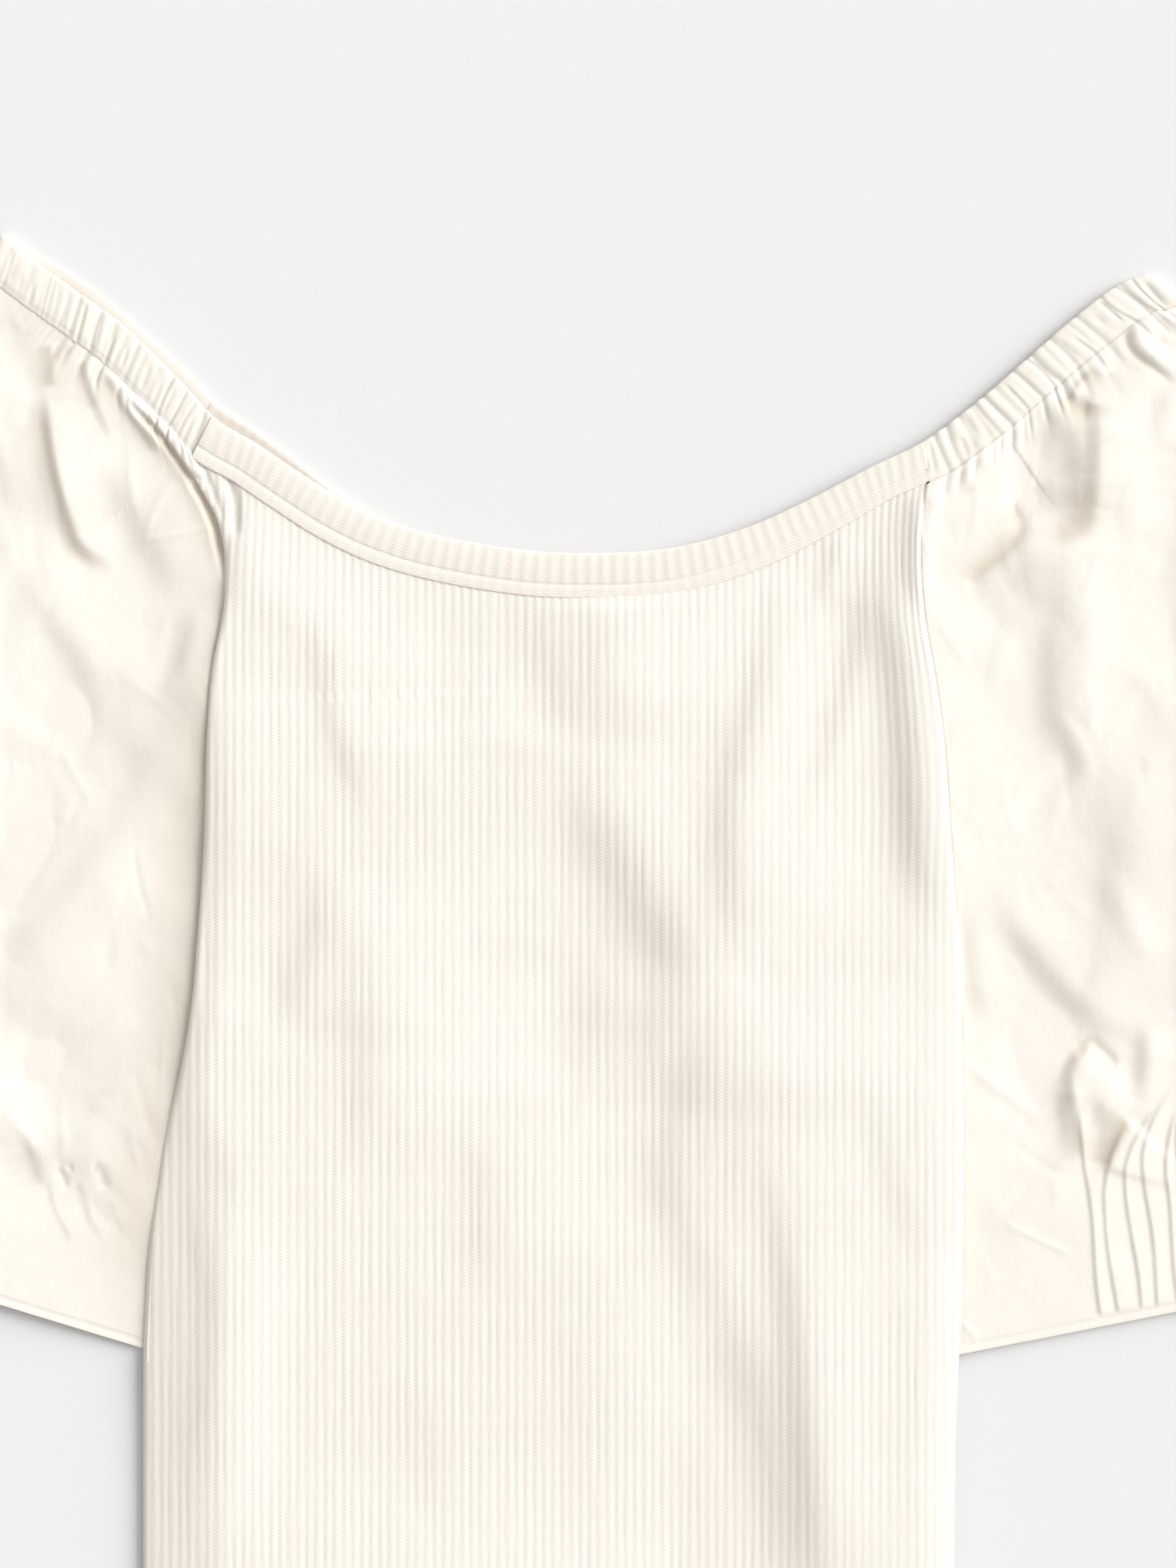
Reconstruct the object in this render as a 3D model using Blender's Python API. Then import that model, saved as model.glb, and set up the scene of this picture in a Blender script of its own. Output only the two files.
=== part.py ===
"""Off-shoulder blouse laid flat, front upwards: a rib-knit bodice of a front and a back panel,
a rib neckband in two pieces, and two woven puff sleeves, each with an elastic casing along its
top and a cuff of stitched-down tucks.

Frame: +X to the picture's right, +Y towards the neckline, +Z up from the surface it lies on.
The plan is laid out in the photograph's own pixels (1512 x 2016, y downwards); K turns them to metres.
Heights are in millimetres and are turned to metres in one place, in place().
"""

from collections import namedtuple

import bpy
import numpy as np

# ---------------------------------------------------------------- driving sizes
K = 0.000325            # metres for one pixel: the bodice is 1042 px wide and 339 mm across
CENTRE_X = 728.0        # the plan's point that is the frame's origin, in pixels
CENTRE_Y = 1231.0
MM = 0.001

KNIT = 1.4              # wall of the rib knit, mm
POPLIN = 1.0            # wall of the woven sleeve, mm
BAND = 2.0              # folded neckband and casing, mm
BAND_W = 43.0           # neckband's folded band, px (14 mm)
STRIP_W = 14.0          # stitched-down strip below it, px (4.5 mm)
CASING_W = 58.0         # elastic casing, px (19 mm)
SEAM = 1.3              # gap left at a seam, px (0.4 mm)
HEM_Y = 2157.0          # the bodice's hem, px
UNDERARM_Y = 1185.0     # where each armhole ends, px
CUFF_END_Y = 1750.0     # lowest point of the sleeve hems, px

BACK_Z = 0.7            # middle of the back panel where it lies on the surface, mm
FRONT_Z = 5.7           # middle of the front panel at its crown, mm
FRONT_EDGE_Z = 5.45     # and at its side edges, where they lie over the sleeves, mm
FRONT_HEM_Z = 2.7       # and at its side edges below the sleeves, mm
STRIP_UNDER_Z = 3.2     # and under the neckband's stitched strip, mm
CASING_Z = (1.0, 4.0)   # middle of the back and the front layer of band and casing, mm
SLEEVE_BACK_Z = 0.5     # middle of a sleeve's back layer, mm

# ---------------------------------------------------------------- tables, in pixels of the plan
Side = namedtuple("Side", "y left right")
BODY_SIDES = (                      # the bodice's side edges: armhole seams, then side seams
    Side(590, 255, 1197),
    Side(640, 265, 1186),
    Side(690, 278, 1182),
    Side(740, 287, 1183),
    Side(800, 284, 1190),
    Side(855, 273, 1200),
    Side(945, 266, 1213),
    Side(1080, 262, 1223),
    Side(1200, 254, 1232),
    Side(1290, 246, 1236),
    Side(1380, 231, 1238),
    Side(1450, 214, 1239),
    Side(1525, 202, 1239),
    Side(1600, 192, 1238),
    Side(1680, 187, 1237),
    Side(1760, 184, 1232),
    Side(1850, 184, 1228),
    Side(2157, 184, 1226),
)

Neck = namedtuple("Neck", "x y behind band lean")
# The neckline's top edge, left to right: its y on the front, how far the back's edge stands above
# it (behind), the width of the front's band as a share of the full one, and how far the lines
# across the band lean to the right (px for each px across).
NECKLINE = (
    Neck(4, 302, 0, 1.0, 0.00),
    Neck(44, 334, 10, 1.0, 0.00),
    Neck(103, 377, 20, 1.0, 0.00),
    Neck(158, 417, 14, 1.0, 0.06),
    Neck(205, 462, 16, 1.0, 0.18),
    Neck(249, 507, 19, 1.0, 0.28),
    Neck(275, 532, 21, 1.0, 0.30),
    Neck(328, 566, 14, 1.0, 0.22),
    Neck(380, 598, 9, 1.0, 0.12),
    Neck(440, 638, 3, 1.0, 0.04),
    Neck(500, 670, -3, 1.0, 0.00),
    Neck(600, 696, -6, 1.0, 0.00),
    Neck(740, 711, -6, 1.0, 0.00),
    Neck(860, 705, -6, 1.0, 0.00),
    Neck(960, 678, -6, 0.96, 0.00),
    Neck(1040, 642, -6, 0.88, 0.00),
    Neck(1120, 600, -6, 0.80, -0.04),
    Neck(1180, 571, -6, 0.76, -0.10),
    Neck(1260, 513, -6, 1.0, 0.00),
    Neck(1320, 461, -3, 1.0, 0.10),
    Neck(1380, 409, 0, 1.0, 0.22),
    Neck(1440, 365, 0, 1.0, 0.48),
    Neck(1474, 353, 0, 1.0, 0.62),
)
JOIN_X = {"left": 273.0, "right": 1184.0}     # where the neckband meets each casing
END_X = {"left": 4.0, "right": 1474.0}        # where each casing turns from front to back

Row = namedtuple("Row", "s inner_y outer_x outer_y dome")
# Each sleeve from its casing, s = 0, to its hem, s = 1: the height on the page of its inner edge,
# the plan of its outer fold, and the height of its puff in mm.
SLEEVES = {
    "right": (
        Row(0.00, 618, 1529, 404, 0.0),
        Row(0.05, 680, 1592, 444, 3.0),
        Row(0.12, 760, 1657, 512, 8.5),
        Row(0.20, 855, 1712, 615, 13.0),
        Row(0.30, 975, 1752, 762, 16.0),
        Row(0.42, 1115, 1780, 940, 17.0),
        Row(0.54, 1255, 1793, 1120, 16.0),
        Row(0.66, 1395, 1791, 1293, 13.5),
        Row(0.76, 1505, 1775, 1422, 10.0),
        Row(0.84, 1590, 1763, 1503, 6.5),
        Row(0.92, 1668, 1759, 1572, 5.0),
        Row(1.00, 1748, 1757, 1640, 4.5),
    ),
    "left": (
        Row(0.00, 603, -28, 362, 0.0),
        Row(0.05, 662, -90, 400, 3.0),
        Row(0.12, 745, -152, 467, 8.5),
        Row(0.20, 845, -212, 572, 13.0),
        Row(0.30, 965, -262, 716, 16.0),
        Row(0.42, 1112, -303, 890, 17.0),
        Row(0.54, 1254, -328, 1066, 16.0),
        Row(0.66, 1397, -338, 1236, 13.5),
        Row(0.76, 1510, -335, 1360, 10.0),
        Row(0.84, 1592, -331, 1438, 6.5),
        Row(0.92, 1669, -333, 1507, 5.0),
        Row(1.00, 1745, -337, 1575, 4.5),
    ),
}

Tuck = namedtuple("Tuck", "first_t pitch_t count depth head_s")
TUCKS = Tuck(first_t=0.36, pitch_t=0.046, count=12, depth=1.5, head_s=0.80)

Fold = namedtuple("Fold", "x0 y0 x1 y1 x2 y2 rise reach")
# The largest folds: three points along each, how far its +X side stands above its -X side (mm),
# and the distance from the fold's middle to its ridge (px).
SLEEVE_FOLDS = (
    Fold(62, 500, 82, 640, 150, 742, 3.0, 26),
    Fold(20, 760, 120, 860, 225, 985, 2.2, 55),
    Fold(1388, 470, 1404, 590, 1404, 690, 3.0, 28),
    Fold(1390, 730, 1345, 880, 1425, 1080, 3.2, 45),
    Fold(1285, 1165, 1360, 1280, 1445, 1345, 2.4, 42),
)
BODY_FOLDS = (
    Fold(740, 985, 820, 1130, 915, 1245, 0.8, 60),
    Fold(975, 745, 925, 950, 905, 1090, 0.8, 55),
    Fold(895, 1270, 835, 1450, 985, 1850, 0.8, 60),
)


# ---------------------------------------------------------------- small functions
def smooth(a):
    """0 below 0, 1 above 1, and an even S between."""
    a = np.clip(a, 0.0, 1.0)
    return a * a * (3 - 2 * a)


def through(xs, ys, x):
    """A smooth curve through a table's values, with no overshoot."""
    xs, ys, x = np.asarray(xs, float), np.asarray(ys, float), np.asarray(x, float)
    step, rise = np.diff(xs), np.diff(ys)
    slope = rise / step
    tangent = np.concatenate([[slope[0]], (slope[:-1] + slope[1:]) / 2, [slope[-1]]])
    tangent[1:-1] = np.where(slope[:-1] * slope[1:] <= 0, 0.0, tangent[1:-1])
    k = np.clip(np.searchsorted(xs, x) - 1, 0, len(xs) - 2)
    t = np.clip((x - xs[k]) / step[k], 0.0, 1.0)
    return (
        ys[k] * (1 + 2 * t) * (1 - t) ** 2
        + ys[k + 1] * t * t * (3 - 2 * t)
        + step[k] * (tangent[k] * t * (1 - t) ** 2 - tangent[k + 1] * t * t * (1 - t))
    )


def column(table, name):
    return [getattr(row, name) for row in table]


def side_x(side, y):
    return through(column(BODY_SIDES, "y"), column(BODY_SIDES, side), y)


def neck_y(x, layer="front"):
    y = through(column(NECKLINE, "x"), column(NECKLINE, "y"), x)
    if layer == "back":
        y = y - through(column(NECKLINE, "x"), column(NECKLINE, "behind"), x)
    return y


def neck_point(x, away, layer="front"):
    """The point that lies away px below the neckline's top edge, square to it."""
    x = np.asarray(x, float)
    before, after = (np.clip(x + d, END_X["left"], END_X["right"]) for d in (-6, 6))
    slope = (neck_y(after, layer) - neck_y(before, layer)) / (after - before)
    length = np.sqrt(1 + slope**2)
    lean = through(column(NECKLINE, "x"), column(NECKLINE, "lean"), x)
    return np.stack(
        [x + (lean - slope) / length * away, neck_y(x, layer) + (1 + lean * slope) / length * away], -1
    )


def folds(table, x, y):
    """Height that the folds of a table add at a point of the plan, in mm."""
    total = np.zeros(np.broadcast(x, y).shape)
    for f in table:
        best, side, share = np.full(total.shape, 1e9), np.ones(total.shape), np.zeros(total.shape)
        for k in range(8):
            a, b = k / 8, (k + 1) / 8
            p = [
                (
                    (1 - t) ** 2 * f.x0 + 2 * t * (1 - t) * (2 * f.x1 - (f.x0 + f.x2) / 2) + t * t * f.x2,
                    (1 - t) ** 2 * f.y0 + 2 * t * (1 - t) * (2 * f.y1 - (f.y0 + f.y2) / 2) + t * t * f.y2,
                )
                for t in (a, b)
            ]
            dx, dy = p[1][0] - p[0][0], p[1][1] - p[0][1]
            along = np.clip(((x - p[0][0]) * dx + (y - p[0][1]) * dy) / (dx * dx + dy * dy), 0, 1)
            away = np.hypot(x - p[0][0] - along * dx, y - p[0][1] - along * dy)
            which = np.sign((x - p[0][0]) * dy - (y - p[0][1]) * dx)
            near = away < best
            best, side = np.where(near, away, best), np.where(near, which, side)
            share = np.where(near, (k + along) / 8, share)
        d = side * best / f.reach
        fade = smooth(share / 0.2) * smooth((1 - share) / 0.2)
        total = total + 0.5 * f.rise * fade * d * np.exp(0.5 - 0.5 * d * d)
    return total


def place(x, y, z):
    """Plan pixels and millimetres to metres in the frame."""
    return np.stack(
        [(np.asarray(x, float) - CENTRE_X) * K, (CENTRE_Y - np.asarray(y, float)) * K, np.asarray(z, float) * MM],
        -1,
    )


# ---------------------------------------------------------------- meshes
def material(name, colour, roughness):
    made = bpy.data.materials.new(name)
    made.use_nodes = True
    shader = made.node_tree.nodes["Principled BSDF"]
    shader.inputs["Base Color"].default_value = (*colour, 1.0)
    shader.inputs["Roughness"].default_value = roughness
    shader.inputs["Metallic"].default_value = 0.0
    return made


def add_object(name, points, faces, finish):
    mesh = bpy.data.meshes.new(name)
    mesh.from_pydata([tuple(map(float, p)) for p in points], [], faces)
    mesh.validate()
    mesh.shade_smooth()
    mesh.set_sharp_from_angle(angle=0.7)
    mesh.materials.append(finish)
    made = bpy.data.objects.new(name, mesh)
    bpy.context.scene.collection.objects.link(made)
    return made


def wall(name, grid, thick, finish):
    """One closed wall of cloth, thick mm, on both sides of a grid of points in metres."""
    rows, columns, _ = grid.shape
    down = np.gradient(grid, axis=0)
    across = np.gradient(grid, axis=1)
    normal = np.cross(across, down)
    normal /= np.linalg.norm(normal, axis=2, keepdims=True)
    half = normal * thick * MM / 2
    points = np.concatenate([(grid - half).reshape(-1, 3), (grid + half).reshape(-1, 3)])
    count = rows * columns

    def at(i, j, layer):
        return layer * count + i * columns + j

    faces = []
    for i in range(rows - 1):
        for j in range(columns - 1):
            a, b, c, d = (i, j), (i, j + 1), (i + 1, j + 1), (i + 1, j)
            faces.append([at(*p, 1) for p in (a, b, c, d)])
            faces.append([at(*p, 0) for p in (d, c, b, a)])
    rim = (
        [(0, j) for j in range(columns)]
        + [(i, columns - 1) for i in range(1, rows)]
        + [(rows - 1, j) for j in range(columns - 2, -1, -1)]
        + [(i, 0) for i in range(rows - 2, 0, -1)]
    )
    for a, b in zip(rim, rim[1:] + rim[:1]):
        faces.append([at(*b, 1), at(*a, 1), at(*a, 0), at(*b, 0)])
    signed = sum(
        np.dot(points[f[0]], np.cross(points[f[k]], points[f[k + 1]])) for f in faces for k in (1, 2)
    )
    if signed < 0:
        faces = [f[::-1] for f in faces]
    return add_object(name, points, faces, finish)


def loft(name, sections, finish):
    """A closed solid through rings of points, one ring for each station."""
    stations, around, _ = sections.shape
    points = sections.reshape(-1, 3)
    faces = [
        [i * around + j, i * around + (j + 1) % around, (i + 1) * around + (j + 1) % around, (i + 1) * around + j]
        for i in range(stations - 1)
        for j in range(around)
    ]
    faces.append(list(range(around))[::-1])
    faces.append([(stations - 1) * around + j for j in range(around)])
    signed = sum(
        np.dot(points[f[0]], np.cross(points[f[k]], points[f[k + 1]])) for f in faces for k in range(1, len(f) - 1)
    )
    if signed < 0:
        faces = [f[::-1] for f in faces]
    return add_object(name, points, faces, finish)


# ---------------------------------------------------------------- bodice
def below_corner(y):
    """0 at the top of the armholes, where the seams only meet, 1 where the layers lap."""
    return smooth((y - 625) / 38)


def sleeve_zone(y):
    """1 where the bodice's sides lie over the sleeves below the underarm, 0 above and beneath it."""
    return smooth((y - UNDERARM_Y + 45) / 75) * (1 - smooth((y - CUFF_END_Y - 12) / 55))


def back_z(x, y):
    """Middle of the back panel: flat on the surface, and raised where a sleeve lies under its sides."""
    inward = np.minimum(x - side_x("left", y), side_x("right", y) - x)
    armhole = 1.4 * below_corner(y) * (1 - smooth((y - CUFF_END_Y - 12) / 55))
    over = armhole + 1.6 * sleeve_zone(y)
    flat = 14 + 36 * sleeve_zone(y)
    return BACK_Z + over * (1 - smooth((inward - flat) / 55))


def front_z(x, y, top):
    """Middle of the front panel: a low crown over the back one, flattened under the neckband's strip."""
    inward = np.minimum(x - side_x("left", y), side_x("right", y) - x)
    edge = FRONT_EDGE_Z + (FRONT_HEM_Z - FRONT_EDGE_Z) * smooth((y - CUFF_END_Y - 45) / 120)
    z = edge + (FRONT_Z - edge) * smooth(inward / 75)
    z = z + folds(BODY_FOLDS, x, y) * smooth(inward / 90) * smooth((y - top - 40) / 60)
    return STRIP_UNDER_Z + (z - STRIP_UNDER_Z) * smooth((y - top - 19) / (34 + 20 * smooth(inward / 60)))


def body_grid(layer, rows, inset):
    """Points of a bodice panel, from just under the neckband to the hem."""
    stations = STATIONS[:: 1 if layer == "front" else 2]
    scale = through(column(NECKLINE, "x"), column(NECKLINE, "band"), stations) if layer == "front" else 1.0
    top = neck_point(stations, BAND_W * scale + 2.6, layer)
    share = (top[:, 0] - top[0, 0]) / (top[-1, 0] - top[0, 0])
    grid = np.zeros((len(rows), len(stations), 3))
    for i, v in enumerate(rows):
        y = top[:, 1] + v * (HEM_Y - top[:, 1])
        corner = 1 - smooth(np.array(v / 0.045))
        left = side_x("left", y[0]) + inset
        left = left + corner * (top[0, 0] - side_x("left", top[0, 1]) - inset)
        right = side_x("right", y[-1]) - inset
        right = right + corner * (top[-1, 0] - side_x("right", top[-1, 1]) + inset)
        x = left + share * (right - left)
        z = front_z(x, y, top[:, 1]) if layer == "front" else back_z(x, y)
        grid[i] = place(x, y, z)
    return grid


STATIONS = 728.5 + np.array(
    [-454, -440, -420, -394, -360, -318, -270, -220, -166, -112, -56, 0, 56, 112, 166, 220, 270, 318, 360, 394, 420, 440, 454]
)
ROWS_FRONT = (0, 0.012, 0.025, 0.042, 0.065, 0.11, 0.17, 0.24, 0.31, 0.38, 0.45, 0.53, 0.61, 0.68, 0.735, 0.79, 0.87, 1)
ROWS_BACK = (0, 0.025, 0.05, 0.10, 0.17, 0.25, 0.33, 0.375, 0.42, 0.50, 0.60, 0.69, 0.73, 0.755, 0.78, 0.86, 1)


# ---------------------------------------------------------------- neckband and casings
def band_sections(stations, layer):
    """The neckband: a folded band and, on the front, the stitched strip that lies on the panel."""
    rings = []
    for x in stations:
        scale = float(through(column(NECKLINE, "x"), column(NECKLINE, "band"), x)) if layer == "front" else 1.0
        middle = CASING_Z[1] if layer == "front" else CASING_Z[0]
        low, high = middle - BAND / 2, middle + BAND / 2
        w, s = BAND_W * scale, STRIP_W * scale
        if layer == "front":
            outline = (
                (0.0, middle), (1.6, low + 0.25), (5.0, low), (w, low), (w + 0.8, low + 1.25),
                (w + s, low + 1.25), (w + s + 1.2, high - 0.15), (w + s, high + 0.2), (w + 2.4, high + 0.2),
                (w, high - 0.2), (w - 2.4, high), (5.0, high), (1.6, high - 0.25),
            )
        else:
            outline = (
                (0.0, middle), (1.6, low + 0.25), (5.0, low), (w - 1, low), (w, middle),
                (w - 1, high), (5.0, high), (1.6, high - 0.25),
            )
        ring = [(*neck_point(x, away, layer), z) for away, z in outline]
        rings.append([place(*p) for p in ring])
    return np.array(rings)


def casing_path(side):
    """Stations along a casing, from the front neckband round its outer end to the back one: x, layer mix, and outward shift."""
    join, end = JOIN_X[side], END_X[side]
    gap = 1.4 if side == "right" else -1.4
    front = np.linspace(join + gap, end, 13)
    bend = np.linspace(0, np.pi, 6)[1:-1]
    back = np.linspace(end, join + gap, 13)
    stations = [(x, 1.0, 0.0) for x in front]
    stations += [(end, (1 + np.cos(b)) / 2, np.sin(b)) for b in bend]
    stations += [(x, 0.0, 0.0) for x in back]
    return stations, (1 if side == "right" else -1)


def casing_sections(side):
    rings = []
    stations, way = casing_path(side)
    radius = (CASING_Z[1] - CASING_Z[0]) / 2
    middle = (CASING_Z[1] + CASING_Z[0]) / 2
    for x, mix, out in stations:
        p_front = neck_point(x, np.array([0.0, CASING_W]), "front")
        p_back = neck_point(x, np.array([0.0, CASING_W]), "back")
        edge = mix * p_front + (1 - mix) * p_back
        across = edge[1] - edge[0]
        across /= np.linalg.norm(across)
        outward = np.array([-across[1], across[0]])
        outward *= way if outward[0] > 0 else -way
        # direction square to the casing's wall: up on the front, outwards at the fold, down on the back
        height = middle + (2 * mix - 1) * radius
        thick_z, thick_xy = (2 * mix - 1), out
        ring = []
        for away, part in (
            (0.0, 0.0), (2.0, 0.8), (7.0, 1.0), (CASING_W - 3, 1.0), (CASING_W, 0.0),
            (CASING_W - 3, -1.0), (7.0, -1.0), (2.0, -0.8),
        ):
            plan = edge[0] + across * (away + 6.0 * out * (1 - away / CASING_W))
            push = (radius * out + part * BAND / 2 * thick_xy) * MM / K
            z = height + part * BAND / 2 * thick_z
            ring.append(place(plan[0] + outward[0] * push, plan[1] + outward[1] * push, z))
        rings.append(ring)
    return np.array(rings)


# ---------------------------------------------------------------- sleeves
def sleeve_inner(side, y, layer):
    """Inner edge of a sleeve: just under the bodice's edge at the armhole, well under it below the underarm."""
    sign = 1 if side == "left" else -1
    lap = -2.6 + 11.6 * smooth((y - (655 if layer == "front" else 695)) / 45)
    if layer == "front":
        passing = smooth((y - UNDERARM_Y + 80) / 40) * (1 - smooth((y - UNDERARM_Y - 42) / 35))
        lap = lap - 10.5 * passing
    lap = lap + (38.0 - 9.0) * smooth((y - UNDERARM_Y - 70) / 140)
    return side_x(side, y) + sign * lap


def sleeve_point(side, s, t, layer):
    """Plan of a sleeve's point: s from casing to hem, t from the inner edge to the outer fold."""
    table = SLEEVES[side]
    inner_y = float(through(column(table, "s"), column(table, "inner_y"), s))
    outer = np.array([float(through(column(table, "s"), column(table, c), s)) for c in ("outer_x", "outer_y")])
    inner = np.array([float(sleeve_inner(side, inner_y, layer)), inner_y])
    t = np.asarray(t, float)[:, None]
    line = inner + t * (outer - inner)
    # Near the casing the rows follow its lower edge, which curves.
    join, end = JOIN_X[side], END_X[side]
    inner_end = join + (2.4 if side == "right" else -2.4)
    gap = SEAM if layer == "front" else SEAM + 0.9
    lower = neck_point(np.linspace(inner_end, end, 60), CASING_W + gap, layer)
    start = np.array([float(sleeve_inner(side, table[0].inner_y, layer)), table[0].inner_y])
    last = np.array([table[0].outer_x, table[0].outer_y])
    along = np.linspace(0, 1, 60)
    curve = np.stack([np.interp(t[:, 0], along, lower[:, k]) for k in (0, 1)], -1)
    bow = curve - (start + t * (last - start))
    return line + bow * (1 - smooth(np.array(s / 0.14)))


def tuck_height(s, t):
    """Stitched-down tucks near the hem: each rises sharply at its inner edge and falls away outwards."""
    k = (np.asarray(t) - TUCKS.first_t) / TUCKS.pitch_t
    inside = (k > -0.04) & (k < TUCKS.count)
    part = k - np.floor(k + 0.04)
    saw = np.where(part < 0.04, (part + 0.04) / 0.08, (1 - part) / 0.96)
    return TUCKS.depth * np.where(inside, saw, 0.0) * smooth(np.array((s - TUCKS.head_s + 0.06) / 0.08))


def sleeve_heights(side, s, t, plan):
    table = SLEEVES[side]
    dome = float(through(column(table, "s"), column(table, "dome"), s))
    y_in = float(through(column(table, "s"), column(table, "inner_y"), s))
    t = np.asarray(t, float)
    z_in = 3.75 - 1.75 * smooth(np.array((y_in - UNDERARM_Y + 32) / 68))
    flat = 4.0 + 1.0 * smooth(np.array(s / 0.1))
    begins = 0.03 + 0.06 * smooth(np.array((y_in - UNDERARM_Y) / 200))
    z = z_in + (flat - z_in) * smooth((t - begins) / 0.10) + dome * smooth((t - 0.12) / 0.42)
    inside = smooth((t - 0.10) / 0.12) * smooth((0.97 - t) / 0.10)
    away = smooth(np.array(s / 0.08)) * (1 - smooth(np.array((s - 0.70) / 0.12)))
    z = z + folds(SLEEVE_FOLDS, plan[:, 0], plan[:, 1]) * inside * away
    z = z + tuck_height(s, t)
    outer = 2.5 + 0.12 * dome
    end = np.sqrt(np.clip(1 - (np.clip(t - 0.80, 0, None) / 0.20) ** 2, 0, 1))
    return outer + (z - outer) * end


def sleeve_grid(side):
    tucks = []
    for k in range(TUCKS.count + 1):
        edge = TUCKS.first_t + k * TUCKS.pitch_t
        tucks += [edge - 0.04 * TUCKS.pitch_t, edge + 0.04 * TUCKS.pitch_t]
    top = [0, 0.03, 0.075, 0.13, 0.18, 0.24, 0.30, *tucks, 0.945, 0.975, 0.992]
    under = [1.0, 0.988, 0.96, 0.93, 0.74, 0.48, 0.24, 0.10, 0.05, 0]
    inner_y = column(SLEEVES[side], "inner_y")
    passing = np.interp([UNDERARM_Y - 75, UNDERARM_Y - 38, UNDERARM_Y + 40, UNDERARM_Y + 80], inner_y, column(SLEEVES[side], "s"))
    grid = []
    for s in (0, 0.035, 0.08, 0.14, 0.22, 0.31, *map(float, passing), 0.62, 0.74, 0.80, 0.87, 1):
        plan_top = sleeve_point(side, s, top, "front")
        plan_under = sleeve_point(side, s, under, "back")
        # the back layer's outer part follows the front's, so that they meet at the fold
        same = smooth((np.array(under)[:, None] - 0.86) / 0.1)
        plan_under = plan_under * (1 - same) + sleeve_point(side, s, under, "front") * same
        z_top = sleeve_heights(side, s, top, plan_top)
        dome = float(through(column(SLEEVES[side], "s"), column(SLEEVES[side], "dome"), s))
        outer = 2.5 + 0.12 * dome
        curl = 1 - np.sqrt(np.clip(1 - (np.clip(np.array(under) - 0.95, 0, None) / 0.05) ** 2, 0, 1))
        z_under = SLEEVE_BACK_Z + (outer - SLEEVE_BACK_Z) * curl
        plan = np.concatenate([plan_top, plan_under])
        grid.append(place(plan[:, 0], plan[:, 1], np.concatenate([z_top, z_under])))
    return np.array(grid)


# ---------------------------------------------------------------- build
for old in list(bpy.data.objects):
    bpy.data.objects.remove(old)

rib = material("cream_rib_knit", (0.93, 0.90, 0.82), 0.9)
band_finish = material("cream_rib_band", (0.93, 0.89, 0.80), 0.9)
poplin = material("cream_poplin", (0.93, 0.91, 0.85), 0.8)

wall("body_front", body_grid("front", ROWS_FRONT, 0.0), KNIT, rib)
wall("body_back", body_grid("back", ROWS_BACK, 5.5), KNIT, rib)
loft("neckband_front", band_sections(STATIONS, "front"), band_finish)
loft("neckband_back", band_sections(STATIONS[::2], "back"), band_finish)

for hand in ("left", "right"):
    loft("casing_" + hand, casing_sections(hand), poplin)
    wall("sleeve_" + hand, sleeve_grid(hand), POPLIN, poplin)
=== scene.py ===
"""The looks of an off-shoulder blouse that lies flat, front upwards, on a pale surface.

A rib-knit bodice of a front and a back panel, a rib neckband, and two poplin puff sleeves with a
gathered elastic casing along the top and a cuff of stitched-down tucks.

Every piece is laid out in the photograph's own pixels (1512 x 2016, y downwards) with heights in
millimetres, and place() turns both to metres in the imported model's frame.
"""

import math
from collections import namedtuple

import bpy
import numpy as np
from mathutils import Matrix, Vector


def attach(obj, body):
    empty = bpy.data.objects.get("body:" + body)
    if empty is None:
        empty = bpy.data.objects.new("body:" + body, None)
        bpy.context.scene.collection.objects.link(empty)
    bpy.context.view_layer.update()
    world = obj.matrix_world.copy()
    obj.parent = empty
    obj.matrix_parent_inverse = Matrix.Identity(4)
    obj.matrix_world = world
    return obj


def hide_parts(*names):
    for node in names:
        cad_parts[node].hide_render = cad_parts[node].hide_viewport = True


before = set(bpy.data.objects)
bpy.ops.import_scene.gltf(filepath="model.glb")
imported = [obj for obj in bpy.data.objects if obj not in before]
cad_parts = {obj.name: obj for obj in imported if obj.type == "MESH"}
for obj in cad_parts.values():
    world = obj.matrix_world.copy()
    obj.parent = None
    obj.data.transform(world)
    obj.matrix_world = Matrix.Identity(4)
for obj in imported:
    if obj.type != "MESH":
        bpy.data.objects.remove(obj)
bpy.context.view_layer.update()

# ---------------------------------------------------------------- sizes
K = 0.000325                    # metres for one pixel
CENTRE_X, CENTRE_Y = 728.0, 1231.0      # the plan's point at the frame's origin
VIEW_X, VIEW_Y = 756.0, 1008.0  # the middle of the photograph
LENS = 85.0
CAMERA_Z = 2016 * K / 36.0 * LENS       # so that the surface fills the frame as photographed
MM = 0.001

RIB = 11.7                      # one rib of the bodice, px (3.8 mm)
RIB_DEEP = 0.12                 # depth of its grooves, mm
BAND_RIB = 16.4                 # one rib of the neckband, px (5.3 mm)
BAND_W, STRIP_W, CASING_W = 41.0, 17.0, 58.0
HEM_Y, UNDERARM_Y, CUFF_END_Y = 2157.0, 1185.0, 1750.0
FRONT_CROWN = 8.0               # height of the front panel, mm

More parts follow.
